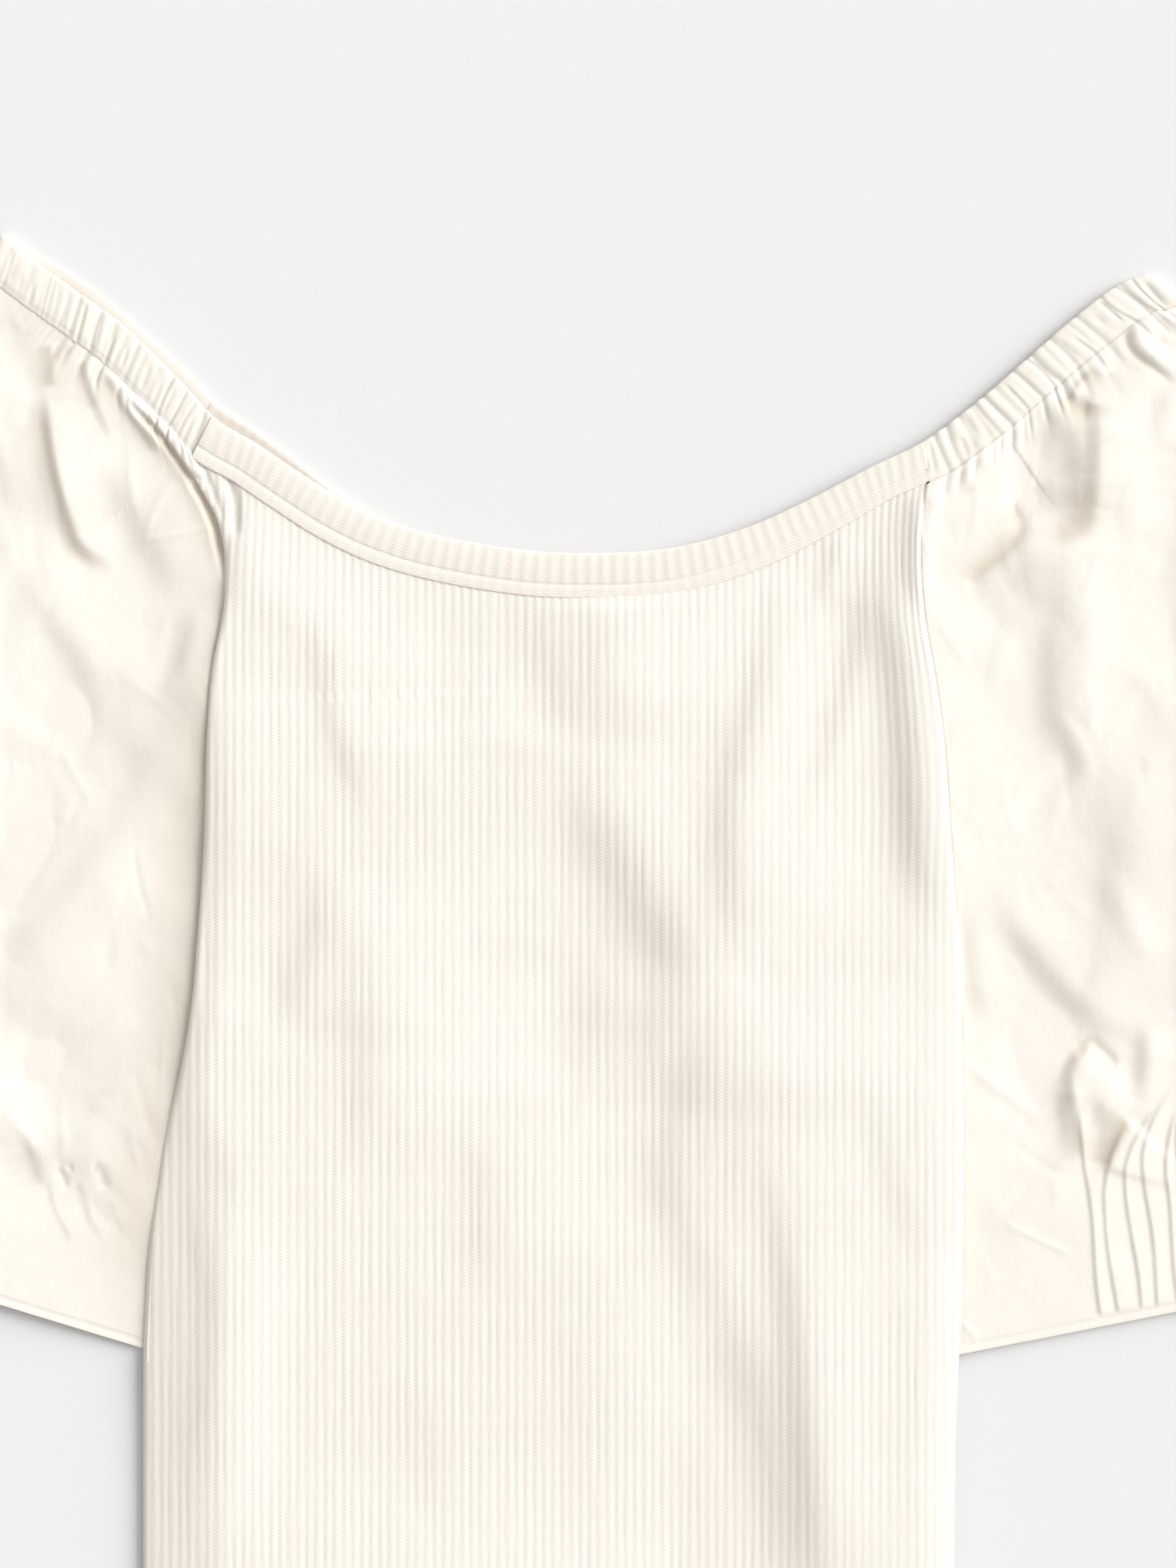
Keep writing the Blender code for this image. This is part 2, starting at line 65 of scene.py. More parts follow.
# ---------------------------------------------------------------- plan tables, px
Side = namedtuple("Side", "y left right")
BODY_SIDES = (
    Side(590, 250, 1197),
    Side(606, 249, 1195),
    Side(625, 256, 1192),
    Side(645, 268, 1188),
    Side(665, 278, 1186),
    Side(690, 285, 1184),
    Side(726, 289, 1184),
    Side(760, 289, 1186),
    Side(800, 284, 1190),
    Side(855, 273, 1200),
    Side(945, 266, 1213),
    Side(1080, 262, 1223),
    Side(1200, 254, 1232),
    Side(1290, 246, 1236),
    Side(1380, 231, 1238),
    Side(1450, 214, 1239),
    Side(1525, 202, 1239),
    Side(1600, 192, 1238),
    Side(1680, 187, 1237),
    Side(1760, 184, 1232),
    Side(1850, 184, 1228),
    Side(2157, 184, 1226),
)

Neck = namedtuple("Neck", "x y behind band lean")
NECKLINE = (
    Neck(4, 302, 0, 1.0, 0.26),
    Neck(44, 334, 9, 1.0, 0.26),
    Neck(103, 377, 16, 1.0, 0.26),
    Neck(158, 417, 13, 1.0, 0.28),
    Neck(205, 462, 15, 1.0, 0.30),
    Neck(249, 507, 18, 1.0, 0.30),
    Neck(275, 536, 19, 1.0, 0.30),
    Neck(328, 569, 16, 1.0, 0.22),
    Neck(380, 604, 13, 1.0, 0.12),
    Neck(440, 642, 4, 1.0, 0.04),
    Neck(500, 670, -3, 1.0, 0.00),
    Neck(600, 696, -6, 1.0, 0.00),
    Neck(740, 711, -6, 1.0, 0.00),
    Neck(860, 705, -6, 1.0, -0.06),
    Neck(960, 678, -6, 0.96, -0.08),
    Neck(1040, 642, -6, 0.88, -0.06),
    Neck(1120, 600, -6, 0.82, -0.20),
    Neck(1184, 569, -6, 0.80, -0.34),
    Neck(1260, 513, -6, 1.0, 0.10),
    Neck(1320, 461, -3, 1.0, 0.16),
    Neck(1380, 409, 0, 1.0, 0.22),
    Neck(1440, 365, 0, 1.0, 0.46),
    Neck(1474, 353, 0, 1.0, 0.62),
)
JOIN_X = {"left": 273.0, "right": 1184.0}
END_X = {"left": 4.0, "right": 1474.0}

Row = namedtuple("Row", "s inner_y outer_x outer_y dome")
SLEEVES = {
    "right": (
        Row(0.00, 618, 1529, 404, 0.0),
        Row(0.05, 680, 1592, 444, 3.0),
        Row(0.12, 760, 1657, 512, 8.5),
        Row(0.20, 855, 1712, 615, 13.0),
        Row(0.30, 975, 1752, 762, 15.0),
        Row(0.42, 1115, 1780, 940, 16.0),
        Row(0.54, 1255, 1793, 1120, 15.0),
        Row(0.66, 1395, 1791, 1293, 13.0),
        Row(0.76, 1508, 1775, 1422, 9.5),
        Row(0.84, 1592, 1763, 1503, 6.0),
        Row(0.92, 1669, 1759, 1571, 4.0),
        Row(1.00, 1749, 1757, 1638, 3.0),
    ),
    "left": (
        Row(0.00, 603, -28, 362, 0.0),
        Row(0.05, 662, -90, 400, 3.0),
        Row(0.12, 745, -152, 467, 8.5),
        Row(0.20, 845, -212, 572, 13.0),
        Row(0.30, 965, -262, 716, 15.0),
        Row(0.42, 1112, -303, 890, 16.0),
        Row(0.54, 1254, -328, 1066, 15.0),
        Row(0.66, 1397, -338, 1236, 13.0),
        Row(0.76, 1510, -335, 1360, 9.5),
        Row(0.84, 1592, -331, 1438, 6.0),
        Row(0.92, 1669, -333, 1507, 4.0),
        Row(1.00, 1745, -337, 1575, 3.0),
    ),
}

# Folds are placed along paths drawn from top to bottom. A roll stands rise mm higher on
# its right than on its left and levels out slowly on both sides; a step does so abruptly; a ridge
# is raised along the path itself, or sunk if its rise is negative. reach is the half width, px.
Fold = namedtuple("Fold", "kind rise reach path")
BODY_FOLDS = (
    Fold("roll", 1.32, 22, ((398, 770), (408, 850), (425, 930), (450, 1000), (466, 1060))),
    Fold("roll", 2.15, 32, ((425, 1105), (402, 1190), (376, 1270), (362, 1330))),
    Fold("roll", 1.65, 39, ((434, 1130), (454, 1240), (462, 1340), (460, 1440), (452, 1540))),
    Fold("roll", 2.81, 59, ((736, 740), (752, 810), (766, 880), (756, 970))),
    Fold("roll", 2.53, 44, ((664, 745), (690, 830), (714, 900), (720, 960))),
    Fold("roll", 1.65, 54, ((602, 750), (600, 870), (584, 980))),
    Fold("roll", 3.08, 32, ((1000, 690), (992, 780), (978, 860), (960, 920), (940, 985), (930, 1050), (932, 1130), (940, 1210), (948, 1270))),
    Fold("roll", 4.84, 54, ((718, 960), (758, 1062), (812, 1150), (860, 1225), (908, 1310))),
    Fold("roll", 1.87, 49, ((866, 1170), (852, 1260), (836, 1340), (818, 1420))),
    Fold("roll", 2.75, 41, ((944, 1250), (904, 1345), (866, 1440), (854, 1520), (884, 1610), (930, 1710))),
    Fold("roll", 4.95, 54, ((874, 1570), (930, 1700), (968, 1800), (992, 1900), (1010, 2016), (1026, 2157))),
    Fold("roll", 2.75, 29, ((976, 1450), (996, 1570), (1012, 1680), (1022, 1780), (1034, 1900), (1044, 2030), (1050, 2130))),
    Fold("roll", 2.15, 51, ((766, 1215), (752, 1320), (744, 1420))),
    Fold("roll", 2.15, 71, ((962, 1300), (954, 1450), (948, 1610))),
    Fold("roll", 2.09, 24, ((1120, 690), (1108, 780), (1088, 870), (1062, 960), (1026, 1070))),
    Fold("roll", 1.10, 15, ((1074, 684), (1062, 730), (1046, 780))),
    Fold("roll", 0.66, 22, ((1106, 1390), (1134, 1480), (1160, 1560), (1186, 1660))),
    Fold("roll", -0.99, 55, ((1136, 1240), (1158, 1340), (1166, 1440))),
    Fold("roll", 1.32, 39, ((604, 1440), (614, 1550), (606, 1670))),
    Fold("roll", -1.65, 41, ((338, 1500), (346, 1620), (344, 1750), (330, 1900), (326, 2050))),
    Fold("roll", 0.99, 21, ((243, 1480), (248, 1550), (262, 1640), (266, 1700), (256, 1800), (242, 1900), (236, 2016))),
    Fold("roll", 0.55, 32, ((538, 1760), (546, 1870), (556, 1970))),
    Fold("roll", 1.54, 73, ((728, 1560), (735, 1750), (745, 1900), (750, 2070))),
    Fold("roll", 1.32, 49, ((880, 1800), (890, 1900), (905, 2000), (910, 2120))),
    Fold("roll", 4.73, 33, ((1140, 590), (1138, 700), (1140, 800), (1150, 875), (1159, 950), (1165, 1025), (1172, 1100), (1192, 1165), (1206, 1220))),
    Fold("roll", 2.31, 17, ((1178, 600), (1171, 670), (1172, 740), (1180, 800))),
    Fold("roll", 1.32, 49, ((1150, 1580), (1160, 1700), (1160, 1850), (1158, 2000))),
    Fold("ridge", -1.3, 4.5, ((291, 592), (297, 620), (302, 655), (302, 695))),
    Fold("ridge", -0.6, 2.4, ((263, 598), (270, 622), (279, 645), (287, 672))),
)
LEFT_FOLDS = (
    Fold("step", 1.30, 8.2, ((54, 488), (61, 560), (73, 620), (87, 668), (104, 706), (150, 733))),
    Fold("roll", 1.2, 16, ((44, 540), (56, 610), (72, 670), (98, 716))),
    Fold("step", 0.56, 6.8, ((105, 458), (112, 495), (126, 530), (142, 566))),
    Fold("step", 0.74, 7.5, ((132, 474), (150, 505), (176, 542), (210, 588))),
    Fold("ridge", 0.6, 6, ((156, 512), (184, 546), (208, 582))),
    Fold("roll", 2.6, 26, ((126, 590), (160, 650), (196, 715), (228, 786))),
    Fold("roll", 1.5, 14, ((246, 780), (234, 845), (200, 900))),
    Fold("roll", 1.8, 20, ((26, 730), (60, 796), (100, 856), (118, 930), (96, 1015))),
    Fold("roll", 2.2, 40, ((112, 840), (150, 920), (166, 990), (144, 1070))),
    Fold("roll", 2.6, 28, ((216, 990), (146, 1065), (92, 1130), (42, 1190), (0, 1240), (-50, 1290))),
    Fold("roll", 1.6, 26, ((60, 960), (70, 1060), (30, 1150), (-20, 1210))),
    Fold("step", 0.43, 10.5, ((170, 1286), (110, 1338), (50, 1384), (16, 1408))),
    Fold("roll", 2.4, 40, ((170, 1350), (120, 1430), (60, 1490))),
    Fold("roll", 1.2, 20, ((-6, 560), (0, 640), (-10, 760))),
    Fold("roll", -1.2, 26, ((18, 1300), (30, 1400), (44, 1470))),
    Fold("roll", 0.9, 9, ((28, 1450), (44, 1492), (54, 1530))),
    Fold("step", 0.19, 4.5, ((62, 1508), (66, 1542), (78, 1572), (94, 1598))),
    Fold("step", 0.28, 6.0, ((98, 1512), (108, 1540), (116, 1572), (134, 1594))),
    Fold("step", 0.15, 4.5, ((140, 1540), (150, 1566), (160, 1588))),
    Fold("ridge", -0.45, 3.5, ((72, 1502), (82, 1514), (84, 1530))),
    Fold("ridge", -0.50, 5, ((118, 1496), (130, 1508), (136, 1530))),
    Fold("ridge", -0.30, 3, ((86, 1504), (94, 1500))),
    Fold("roll", 2.4, 24, ((-120, 1010), (-150, 1120), (-140, 1250))),
    Fold("step", 0.99, 13.5, ((-60, 420), (-84, 520), (-110, 640), (-104, 730))),
    Fold("roll", 2.4, 26, ((-200, 640), (-214, 780), (-236, 930))),
)
RIGHT_FOLDS = (
    Fold("ridge", 0.5, 8, ((1196, 626), (1200, 650), (1194, 684), (1189, 736), (1194, 800))),
    Fold("step", 1.05, 12.0, ((1392, 500), (1402, 530), (1404, 580), (1402, 632), (1394, 676))),
    Fold("roll", 2.4, 24, ((1372, 510), (1378, 570), (1380, 640), (1372, 690))),
    Fold("ridge", -0.5, 7, ((1372, 500), (1384, 520), (1402, 526))),
    Fold("ridge", 0.8, 4, ((1432, 472), (1406, 480), (1388, 496), (1378, 514))),
    Fold("step", 1.05, 13.5, ((1404, 650), (1394, 680), (1362, 696), (1320, 706), (1276, 734), (1246, 756))),
    Fold("roll", 1.5, 22, ((1396, 640), (1370, 672), (1330, 684), (1300, 692))),
    Fold("ridge", -0.6, 7, ((1298, 634), (1312, 662), (1311, 688), (1288, 714), (1258, 738), (1246, 758))),
    Fold("roll", 1.8, 26, ((1330, 620), (1342, 640), (1352, 664))),
    Fold("ridge", 0.8, 13, ((1500, 650), (1440, 682), (1392, 708), (1340, 726), (1290, 752))),
    Fold("ridge", -0.9, 4, ((1452, 410), (1450, 440), (1462, 458), (1484, 474), (1512, 494))),
    Fold("ridge", 0.9, 8, ((1530, 392), (1488, 404), (1464, 420), (1468, 442), (1490, 462), (1516, 478))),
    Fold("ridge", -0.8, 7, ((1524, 424), (1498, 428), (1486, 442))),
    Fold("roll", 1.2, 16, ((1498, 490), (1490, 540), (1478, 576))),
    Fold("roll", 1.2, 14, ((1358, 524), (1350, 560), (1336, 604))),
    Fold("roll", 2.6, 24, ((1394, 706), (1366, 760), (1350, 830), (1350, 910), (1366, 956), (1400, 992), (1440, 1012))),
    Fold("roll", 3.6, 38, ((1410, 960), (1430, 1060), (1428, 1140), (1412, 1220), (1404, 1290))),
    Fold("roll", 1.0, 16, ((1346, 770), (1300, 802), (1240, 836))),
    Fold("roll", 3.6, 23, ((1264, 1140), (1306, 1206), (1350, 1262), (1400, 1308), (1456, 1350))),
    Fold("roll", 1.5, 18, ((1246, 1160), (1248, 1240), (1262, 1330))),
    Fold("roll", 2.4, 15, ((1396, 1322), (1370, 1376), (1366, 1430), (1380, 1494))),
    Fold("step", 0.81, 7.5, ((1400, 1334), (1376, 1372), (1374, 1400), (1384, 1440), (1388, 1480))),
    Fold("ridge", -0.8, 4, ((1382, 1360), (1400, 1338), (1420, 1352), (1438, 1368))),
    Fold("roll", 2.0, 14, ((1470, 1318), (1466, 1370), (1462, 1420))),
    Fold("roll", 1.6, 16, ((1392, 1402), (1412, 1424), (1426, 1458))),
    Fold("step", 0.93, 10.5, ((1456, 1436), (1440, 1456), (1426, 1486), (1419, 1508))),
    Fold("roll", 0.9, 18, ((1386, 1494), (1330, 1520), (1246, 1552))),
    Fold("ridge", 0.20, 3, ((1290, 1572), (1332, 1592), (1378, 1614))),
    Fold("ridge", 0.2, 3, ((1234, 1698), (1246, 1710), (1258, 1724))),
    Fold("ridge", 0.33, 5, ((1244, 1368), (1290, 1404), (1340, 1440))),
    Fold("roll", 2.4, 26, ((1600, 560), (1592, 700), (1610, 860))),
    Fold("roll", 2.4, 26, ((1660, 760), (1640, 900), (1668, 1080))),
    Fold("step", 0.93, 13.5, ((1600, 1250), (1580, 1340), (1574, 1420))),
    Fold("step", 0.93, 13.5, ((1700, 1230), (1676, 1330), (1650, 1410))),
)

# Painted shade: along the bottoms of the deepest creases, where the cloth nearly closes on itself, the cloth's colour
# is mixed towards a warmer, darker brown.
CreaseShade = namedtuple("CreaseShade", "share reach path")
PAINTED_CREASE_SHADE = {
    "left": (
        CreaseShade(0.38, 6.1, ((54, 505), (61, 560), (73, 620), (87, 668), (104, 706), (150, 733))),
        CreaseShade(0.28, 4.1, ((105, 462), (112, 495), (124, 526))),
        CreaseShade(0.28, 4.1, ((132, 478), (150, 508), (176, 545), (206, 586))),
        CreaseShade(0.42, 5.4, ((58, 440), (64, 462), (64, 480), (66, 500))),
        CreaseShade(0.25, 4.1, ((66, 462), (78, 452), (90, 444))),
        CreaseShade(0.47, 7.4, ((170, 520), (202, 555), (228, 590), (246, 616), (262, 645), (274, 676), (284, 712), (290, 745))),
        CreaseShade(0.17, 4.1, ((68, 1502), (80, 1512), (84, 1526))),
        CreaseShade(0.20, 5.4, ((112, 1500), (128, 1510), (134, 1528))),
        CreaseShade(0.15, 4.1, ((98, 1520), (110, 1548), (120, 1576))),
        CreaseShade(0.12, 3.4, ((62, 1508), (68, 1546), (80, 1574), (94, 1598))),
        CreaseShade(0.12, 13.5, ((40, 1470), (52, 1500), (58, 1524))),
        # painted shadow: a broad band where the bodice's left edge shades the left sleeve, not a crease
        CreaseShade(0.25, 26.0, ((292, 700), (276, 860), (266, 960), (262, 1080), (248, 1260), (228, 1390), (204, 1500), (190, 1640), (184, 1790))),
    ),
    "right": (
        CreaseShade(0.40, 6.8, ((1300, 640), (1312, 664), (1311, 688), (1288, 714), (1258, 738), (1248, 756))),
        CreaseShade(0.38, 10.8, ((1400, 600), (1402, 650), (1396, 672), (1378, 686), (1350, 694))),
        CreaseShade(0.42, 8.1, ((1374, 504), (1382, 520), (1398, 527), (1404, 515))),
        CreaseShade(0.30, 5.4, ((1384, 498), (1396, 484), (1416, 474))),
        CreaseShade(0.23, 12.2, ((1404, 530), (1406, 570), (1404, 620))),
        CreaseShade(0.30, 4.1, ((1452, 412), (1450, 440), (1462, 458), (1484, 474), (1512, 494))),
        CreaseShade(0.25, 5.4, ((1372, 1400), (1376, 1440), (1390, 1490))),
        CreaseShade(0.28, 4.1, ((1374, 1376), (1386, 1352), (1400, 1336), (1420, 1352), (1440, 1368))),
        CreaseShade(0.40, 9.5, ((1450, 1440), (1436, 1456), (1424, 1482), (1420, 1500))),
        CreaseShade(0.17, 4.1, ((1238, 604), (1244, 622), (1252, 634))),
        CreaseShade(0.17, 4.1, ((1262, 588), (1268, 606))),
    ),
}
# Beside the left armhole's top the sleeve dives under the seam.
CREVICE = ((166, 515), (176, 528), (202, 555), (228, 590), (243, 612), (250, 625), (262, 645), (271, 665), (277, 680), (281, 700), (286, 722), (290, 745))

Tuck = namedtuple("Tuck", "x head_y head_dx")
# The right cuff's tucks: where each crosses y 1590, where its head is and how far the head bends.
RIGHT_TUCKS = (
    Tuck(1404, 1440, 0),
    Tuck(1424, 1448, 38),
    Tuck(1455, 1420, 54),
    Tuck(1479, 1405, 44),
    Tuck(1506, 1430, 22),
    Tuck(1524, 1432, 8),
    Tuck(1547, 1424, 4),
    Tuck(1570, 1430, 0),
    Tuck(1593, 1420, -4),
    Tuck(1616, 1426, -8),
    Tuck(1639, 1418, -8),
    Tuck(1662, 1424, -10),
    Tuck(1685, 1414, -10),
    Tuck(1708, 1420, -10),
)
LEFT_TUCKS = tuple(Tuck(x, 1395 + (i * 37) % 24, (i * 5) % 9 - 4) for i, x in enumerate(range(-34, -305, -23)))


# ---------------------------------------------------------------- small functions
def smooth(a):
    a = np.clip(a, 0.0, 1.0)
    return a * a * (3 - 2 * a)


def through(xs, ys, x):
    """A smooth curve through a table's values, with no overshoot."""
    xs, ys, x = np.asarray(xs, float), np.asarray(ys, float), np.asarray(x, float)
    step, rise = np.diff(xs), np.diff(ys)
    slope = rise / step
    tangent = np.concatenate([[slope[0]], (slope[:-1] + slope[1:]) / 2, [slope[-1]]])
    tangent[1:-1] = np.where(slope[:-1] * slope[1:] <= 0, 0.0, tangent[1:-1])
    k = np.clip(np.searchsorted(xs, x) - 1, 0, len(xs) - 2)
    t = np.clip((x - xs[k]) / step[k], 0.0, 1.0)
    return (
        ys[k] * (1 + 2 * t) * (1 - t) ** 2
        + ys[k + 1] * t * t * (3 - 2 * t)
        + step[k] * (tangent[k] * t * (1 - t) ** 2 - tangent[k + 1] * t * t * (1 - t))
    )


def column(table, name):
    return [getattr(row, name) for row in table]


def side_x(side, y):
    return through(column(BODY_SIDES, "y"), column(BODY_SIDES, side), y)


def neck_y(x, layer="front"):
    y = through(column(NECKLINE, "x"), column(NECKLINE, "y"), x)
    if layer == "back":
        y = y - through(column(NECKLINE, "x"), column(NECKLINE, "behind"), x)
    return y


def neck_point(x, away, layer="front"):
    """The point away px below the neckline's top edge, square to it but for the table's lean."""
    x = np.asarray(x, float)
    before, after = (np.clip(x + d, END_X["left"], END_X["right"]) for d in (-6, 6))
    slope = (neck_y(after, layer) - neck_y(before, layer)) / (after - before)
    length = np.sqrt(1 + slope**2)
    lean = through(column(NECKLINE, "x"), column(NECKLINE, "lean"), x)
    return np.stack(
        [x + (lean - slope) / length * away, neck_y(x, layer) + (1 + lean * slope) / length * away], -1
    )


def along_neck(x):
    """Length along the neckline's top edge from its left end, px."""
    xs = np.linspace(END_X["left"], END_X["right"], 1500)
    ys = neck_y(xs)
    run = np.concatenate([[0], np.cumsum(np.hypot(np.diff(xs), np.diff(ys)))])
    return np.interp(x, xs, run)


def place(x, y, z):
    """Photograph pixels and heights in mm to metres, so that each point is seen at its pixel."""
    x, y, z = (np.asarray(a, float) for a in (x, y, z))
    near = 1 - z * MM / CAMERA_Z
    return np.stack(
        [
            (VIEW_X + (x - VIEW_X) * near - CENTRE_X) * K,
            (CENTRE_Y - VIEW_Y - (y - VIEW_Y) * near) * K,
            z * MM,
        ],
        -1,
    )


def curve_points(path, steps=7):
    """A smooth run of points through a path's own."""
    p = np.array([path[0], *path, path[-1]], float)
    run = []
    for i in range(1, len(p) - 2):
        for t in np.arange(steps) / steps:
            run.append(
                0.5
                * (
                    2 * p[i]
                    + (p[i + 1] - p[i - 1]) * t
                    + (2 * p[i - 1] - 5 * p[i] + 4 * p[i + 1] - p[i + 2]) * t * t
                    + (3 * p[i] - p[i - 1] - 3 * p[i + 1] + p[i + 2]) * t**3
                )
            )
    run.append(p[-1])
    return np.array(run)


def signed_distance(x, y, path):
    """Distance from a path, positive on its right, and the share of the path at the nearest point."""
    run = curve_points(path)
    best = np.full(x.shape, 1e9)
    side = np.ones(x.shape)
    share = np.zeros(x.shape)
    count = len(run) - 1
    for k, (a, b) in enumerate(zip(run[:-1], run[1:])):
        dx, dy = b - a
        t = np.clip(((x - a[0]) * dx + (y - a[1]) * dy) / (dx * dx + dy * dy), 0, 1)
        away = np.hypot(x - a[0] - t * dx, y - a[1] - t * dy)
        near = away < best
        best = np.where(near, away, best)
        side = np.where(near, np.sign((x - a[0]) * dy - (y - a[1]) * dx), side)
        share = np.where(near, (k + t) / count, share)
    return side * best, share


def fold_heights(table, x, y):
    total = np.zeros(x.shape)
    flat_x, flat_y, out = x.ravel(), y.ravel(), total.ravel()
    for f in table:
        path = np.array(f.path, float)
        reach = {"ridge": 4.2, "roll": 9}.get(f.kind, 0) * f.reach + 170 * (f.kind == "step")
        low, high = path.min(0) - reach, path.max(0) + reach
        near = np.flatnonzero((flat_x > low[0]) & (flat_x < high[0]) & (flat_y > low[1]) & (flat_y < high[1]))
        if not len(near):
            continue
        d, share = signed_distance(flat_x[near], flat_y[near], f.path)
        end = 0.36 if f.kind == "roll" else 0.22
        fade = smooth(share / end) * smooth((1 - share) / end)
        u = d / f.reach
        if f.kind == "roll":
            h = 0.5 * np.tanh(1.3 * u) * np.exp(-0.5 * (u / 3.4) ** 2)
        elif f.kind == "step":
            h = smooth((u + 1) / 2) * np.exp(-0.5 * (np.clip(d, 0, None) / max(3.4 * f.reach, 55)) ** 2)
        else:
            h = np.exp(-0.5 * u * u)
        out[near] += f.rise * fade * h
    return out.reshape(x.shape)


def crease_shade_shares(table, x, y):
    """How much painted shade each point takes from how deep it lies in a crease, 0 to 1."""
    out = np.zeros(x.shape)
    for c in table:
        d, share = signed_distance(x, y, c.path)
        fade = smooth(share / 0.18) * smooth((1 - share) / 0.18)
        # soft on its low side and sharp on the side that overhangs it
        reach = np.where(d < 0, 1.7 * c.reach, 0.75 * c.reach)
        out = np.maximum(out, c.share * fade * np.exp(-0.5 * (d / reach) ** 2))
    return out


def crinkles(x, y, seed, count, box, rise, reach, length):
    """Many small creases in all directions, for a crumpled crisp cloth."""
    rng = np.random.default_rng(seed)
    flat_x, flat_y = x.ravel(), y.ravel()
    out = np.zeros(flat_x.shape)
    for _ in range(count):
        px, py = rng.uniform(box[0], box[2]), rng.uniform(box[1], box[3])
        turn = rng.normal(0.0, 0.8) + math.pi / 2
        long = length * rng.uniform(0.4, 1.5)
        wide = reach * rng.uniform(0.7, 1.8)
        high = rise * rng.uniform(0.3, 1.0) * rng.choice([-1, 1])
        bend = rng.normal(0, 0.0022)
        near = np.flatnonzero((np.abs(flat_x - px) < long * 1.6) & (np.abs(flat_y - py) < long * 1.6))
        if not len(near):
            continue
        c, s = math.cos(turn), math.sin(turn)
        u = (flat_x[near] - px) * c + (flat_y[near] - py) * s
        v = -(flat_x[near] - px) * s + (flat_y[near] - py) * c + bend * u * u
        out[near] += high * np.exp(-0.5 * (v / wide) ** 2 - 0.5 * (u / (long * 0.5)) ** 4)
    return out.reshape(x.shape)


# ---------------------------------------------------------------- meshes
def make_object(name, points, quads, tris, finish, crease_shade=None):
    quads = np.asarray(quads, np.int32).reshape(-1, 4)
    tris = np.asarray(tris, np.int32).reshape(-1, 3)
    mesh = bpy.data.meshes.new(name)
    mesh.vertices.add(len(points))
    mesh.vertices.foreach_set("co", np.asarray(points, np.float32).ravel())
    loops = np.concatenate([quads.ravel(), tris.ravel()])
    starts = np.concatenate([np.arange(len(quads)) * 4, len(quads) * 4 + np.arange(len(tris)) * 3])
    mesh.loops.add(len(loops))
    mesh.loops.foreach_set("vertex_index", loops)
    mesh.polygons.add(len(starts))
    mesh.polygons.foreach_set("loop_start", starts.astype(np.int32))
    mesh.update(calc_edges=True)
    mesh.validate()
    mesh.shade_smooth()
    mesh.set_sharp_from_angle(angle=1.2)
    # painted shade: a per-point share that darkens the cloth's colour in creases and shadows
    shares = mesh.attributes.new(name="crease_shade", type="FLOAT", domain="POINT")
    if crease_shade is not None:
        shares.data.foreach_set("value", np.asarray(crease_shade, np.float32))
    mesh.materials.append(finish)
    made = bpy.data.objects.new(name, mesh)
    bpy.context.scene.collection.objects.link(made)
    return made


def shell(name, outer, base, normal, thick, rows, columns, first, last, finish, crease_shade=None):
    """A closed thin wall: a fine outer face and a coarse inner one, joined round the edge.

    outer and base are grids of points with and without surface relief. first and last are each
    row's first and last column: a row's columns outside them lie on its ends and are left out.
    """
    count, wide, _ = outer.shape
    i, j = np.meshgrid(np.arange(count), np.arange(wide), indexing="ij")
    ids = i * wide + np.clip(j, first[:, None], last[:, None])
    a, b, c, d = ids[:-1, :-1], ids[:-1, 1:], ids[1:, 1:], ids[1:, :-1]
    quads = np.stack([a, d, c, b], -1).reshape(-1, 4)
    same = np.stack([quads[:, k] == quads[:, (k + 1) % 4] for k in range(4)], -1)
    whole = ~same.any(1)
    tris = []
    for k in range(4):
        one = same[:, k] & (same.sum(1) == 1)
        tris.append(np.delete(quads[one], (k + 1) % 4, axis=1))
    tris = list(np.concatenate(tris)) if tris else []
    quads = quads[whole]

    keep_i = np.unique(np.round(np.linspace(0, count - 1, rows)).astype(int))
    keep_j = np.array(
        [np.round(np.linspace(first[r], last[r], columns)).astype(int) for r in keep_i]
    )
    inner = np.array([base[r, keep_j[k]] - normal[r, keep_j[k]] * thick * MM for k, r in enumerate(keep_i)])
    points = np.concatenate([outer.reshape(-1, 3), inner.reshape(-1, 3)])
    points[:, 2] = np.maximum(points[:, 2], 0.00005)
    start = count * wide
    n, m = len(keep_i), columns

    def low(p, q):
        return start + p * m + q

    p, q = np.meshgrid(np.arange(n - 1), np.arange(m - 1), indexing="ij")
    inside = np.stack([low(p, q), low(p, q + 1), low(p + 1, q + 1), low(p + 1, q)], -1).reshape(-1, 4)
    quads = np.concatenate([quads, inside])

    def fan(fine, a, b, flip):
        fine = [fine[0]] + [v for u, v in zip(fine[:-1], fine[1:]) if u != v]
        half = len(fine) // 2
        made = [(fine[k], fine[k + 1], a if k < half else b) for k in range(len(fine) - 1)]
        made.append((fine[min(half, len(fine) - 1)], b, a))
        tris.extend([t[::-1] for t in made] if flip else made)

    for q in range(m - 1):
        fan(list(ids[0, keep_j[0][q] : keep_j[0][q + 1] + 1]), low(0, q), low(0, q + 1), False)
        fan(list(ids[-1, keep_j[-1][q] : keep_j[-1][q + 1] + 1]), low(n - 1, q), low(n - 1, q + 1), True)
    for p in range(n - 1):
        r = range(keep_i[p], keep_i[p + 1] + 1)
        fan([ids[k, first[k]] for k in r], low(p, 0), low(p + 1, 0), True)
        fan([ids[k, last[k]] for k in r], low(p, m - 1), low(p + 1, m - 1), False)
    used = np.unique(np.concatenate([quads.ravel(), np.array(tris).ravel()]))
    remap = np.zeros(len(points), np.int64)
    remap[used] = np.arange(len(used))
    if crease_shade is not None:
        crease_shade = np.concatenate([crease_shade.ravel(), np.zeros(len(points) - crease_shade.size)])[used]
    return make_object(name, points[used], remap[quads], remap[np.array(tris)], finish, crease_shade)


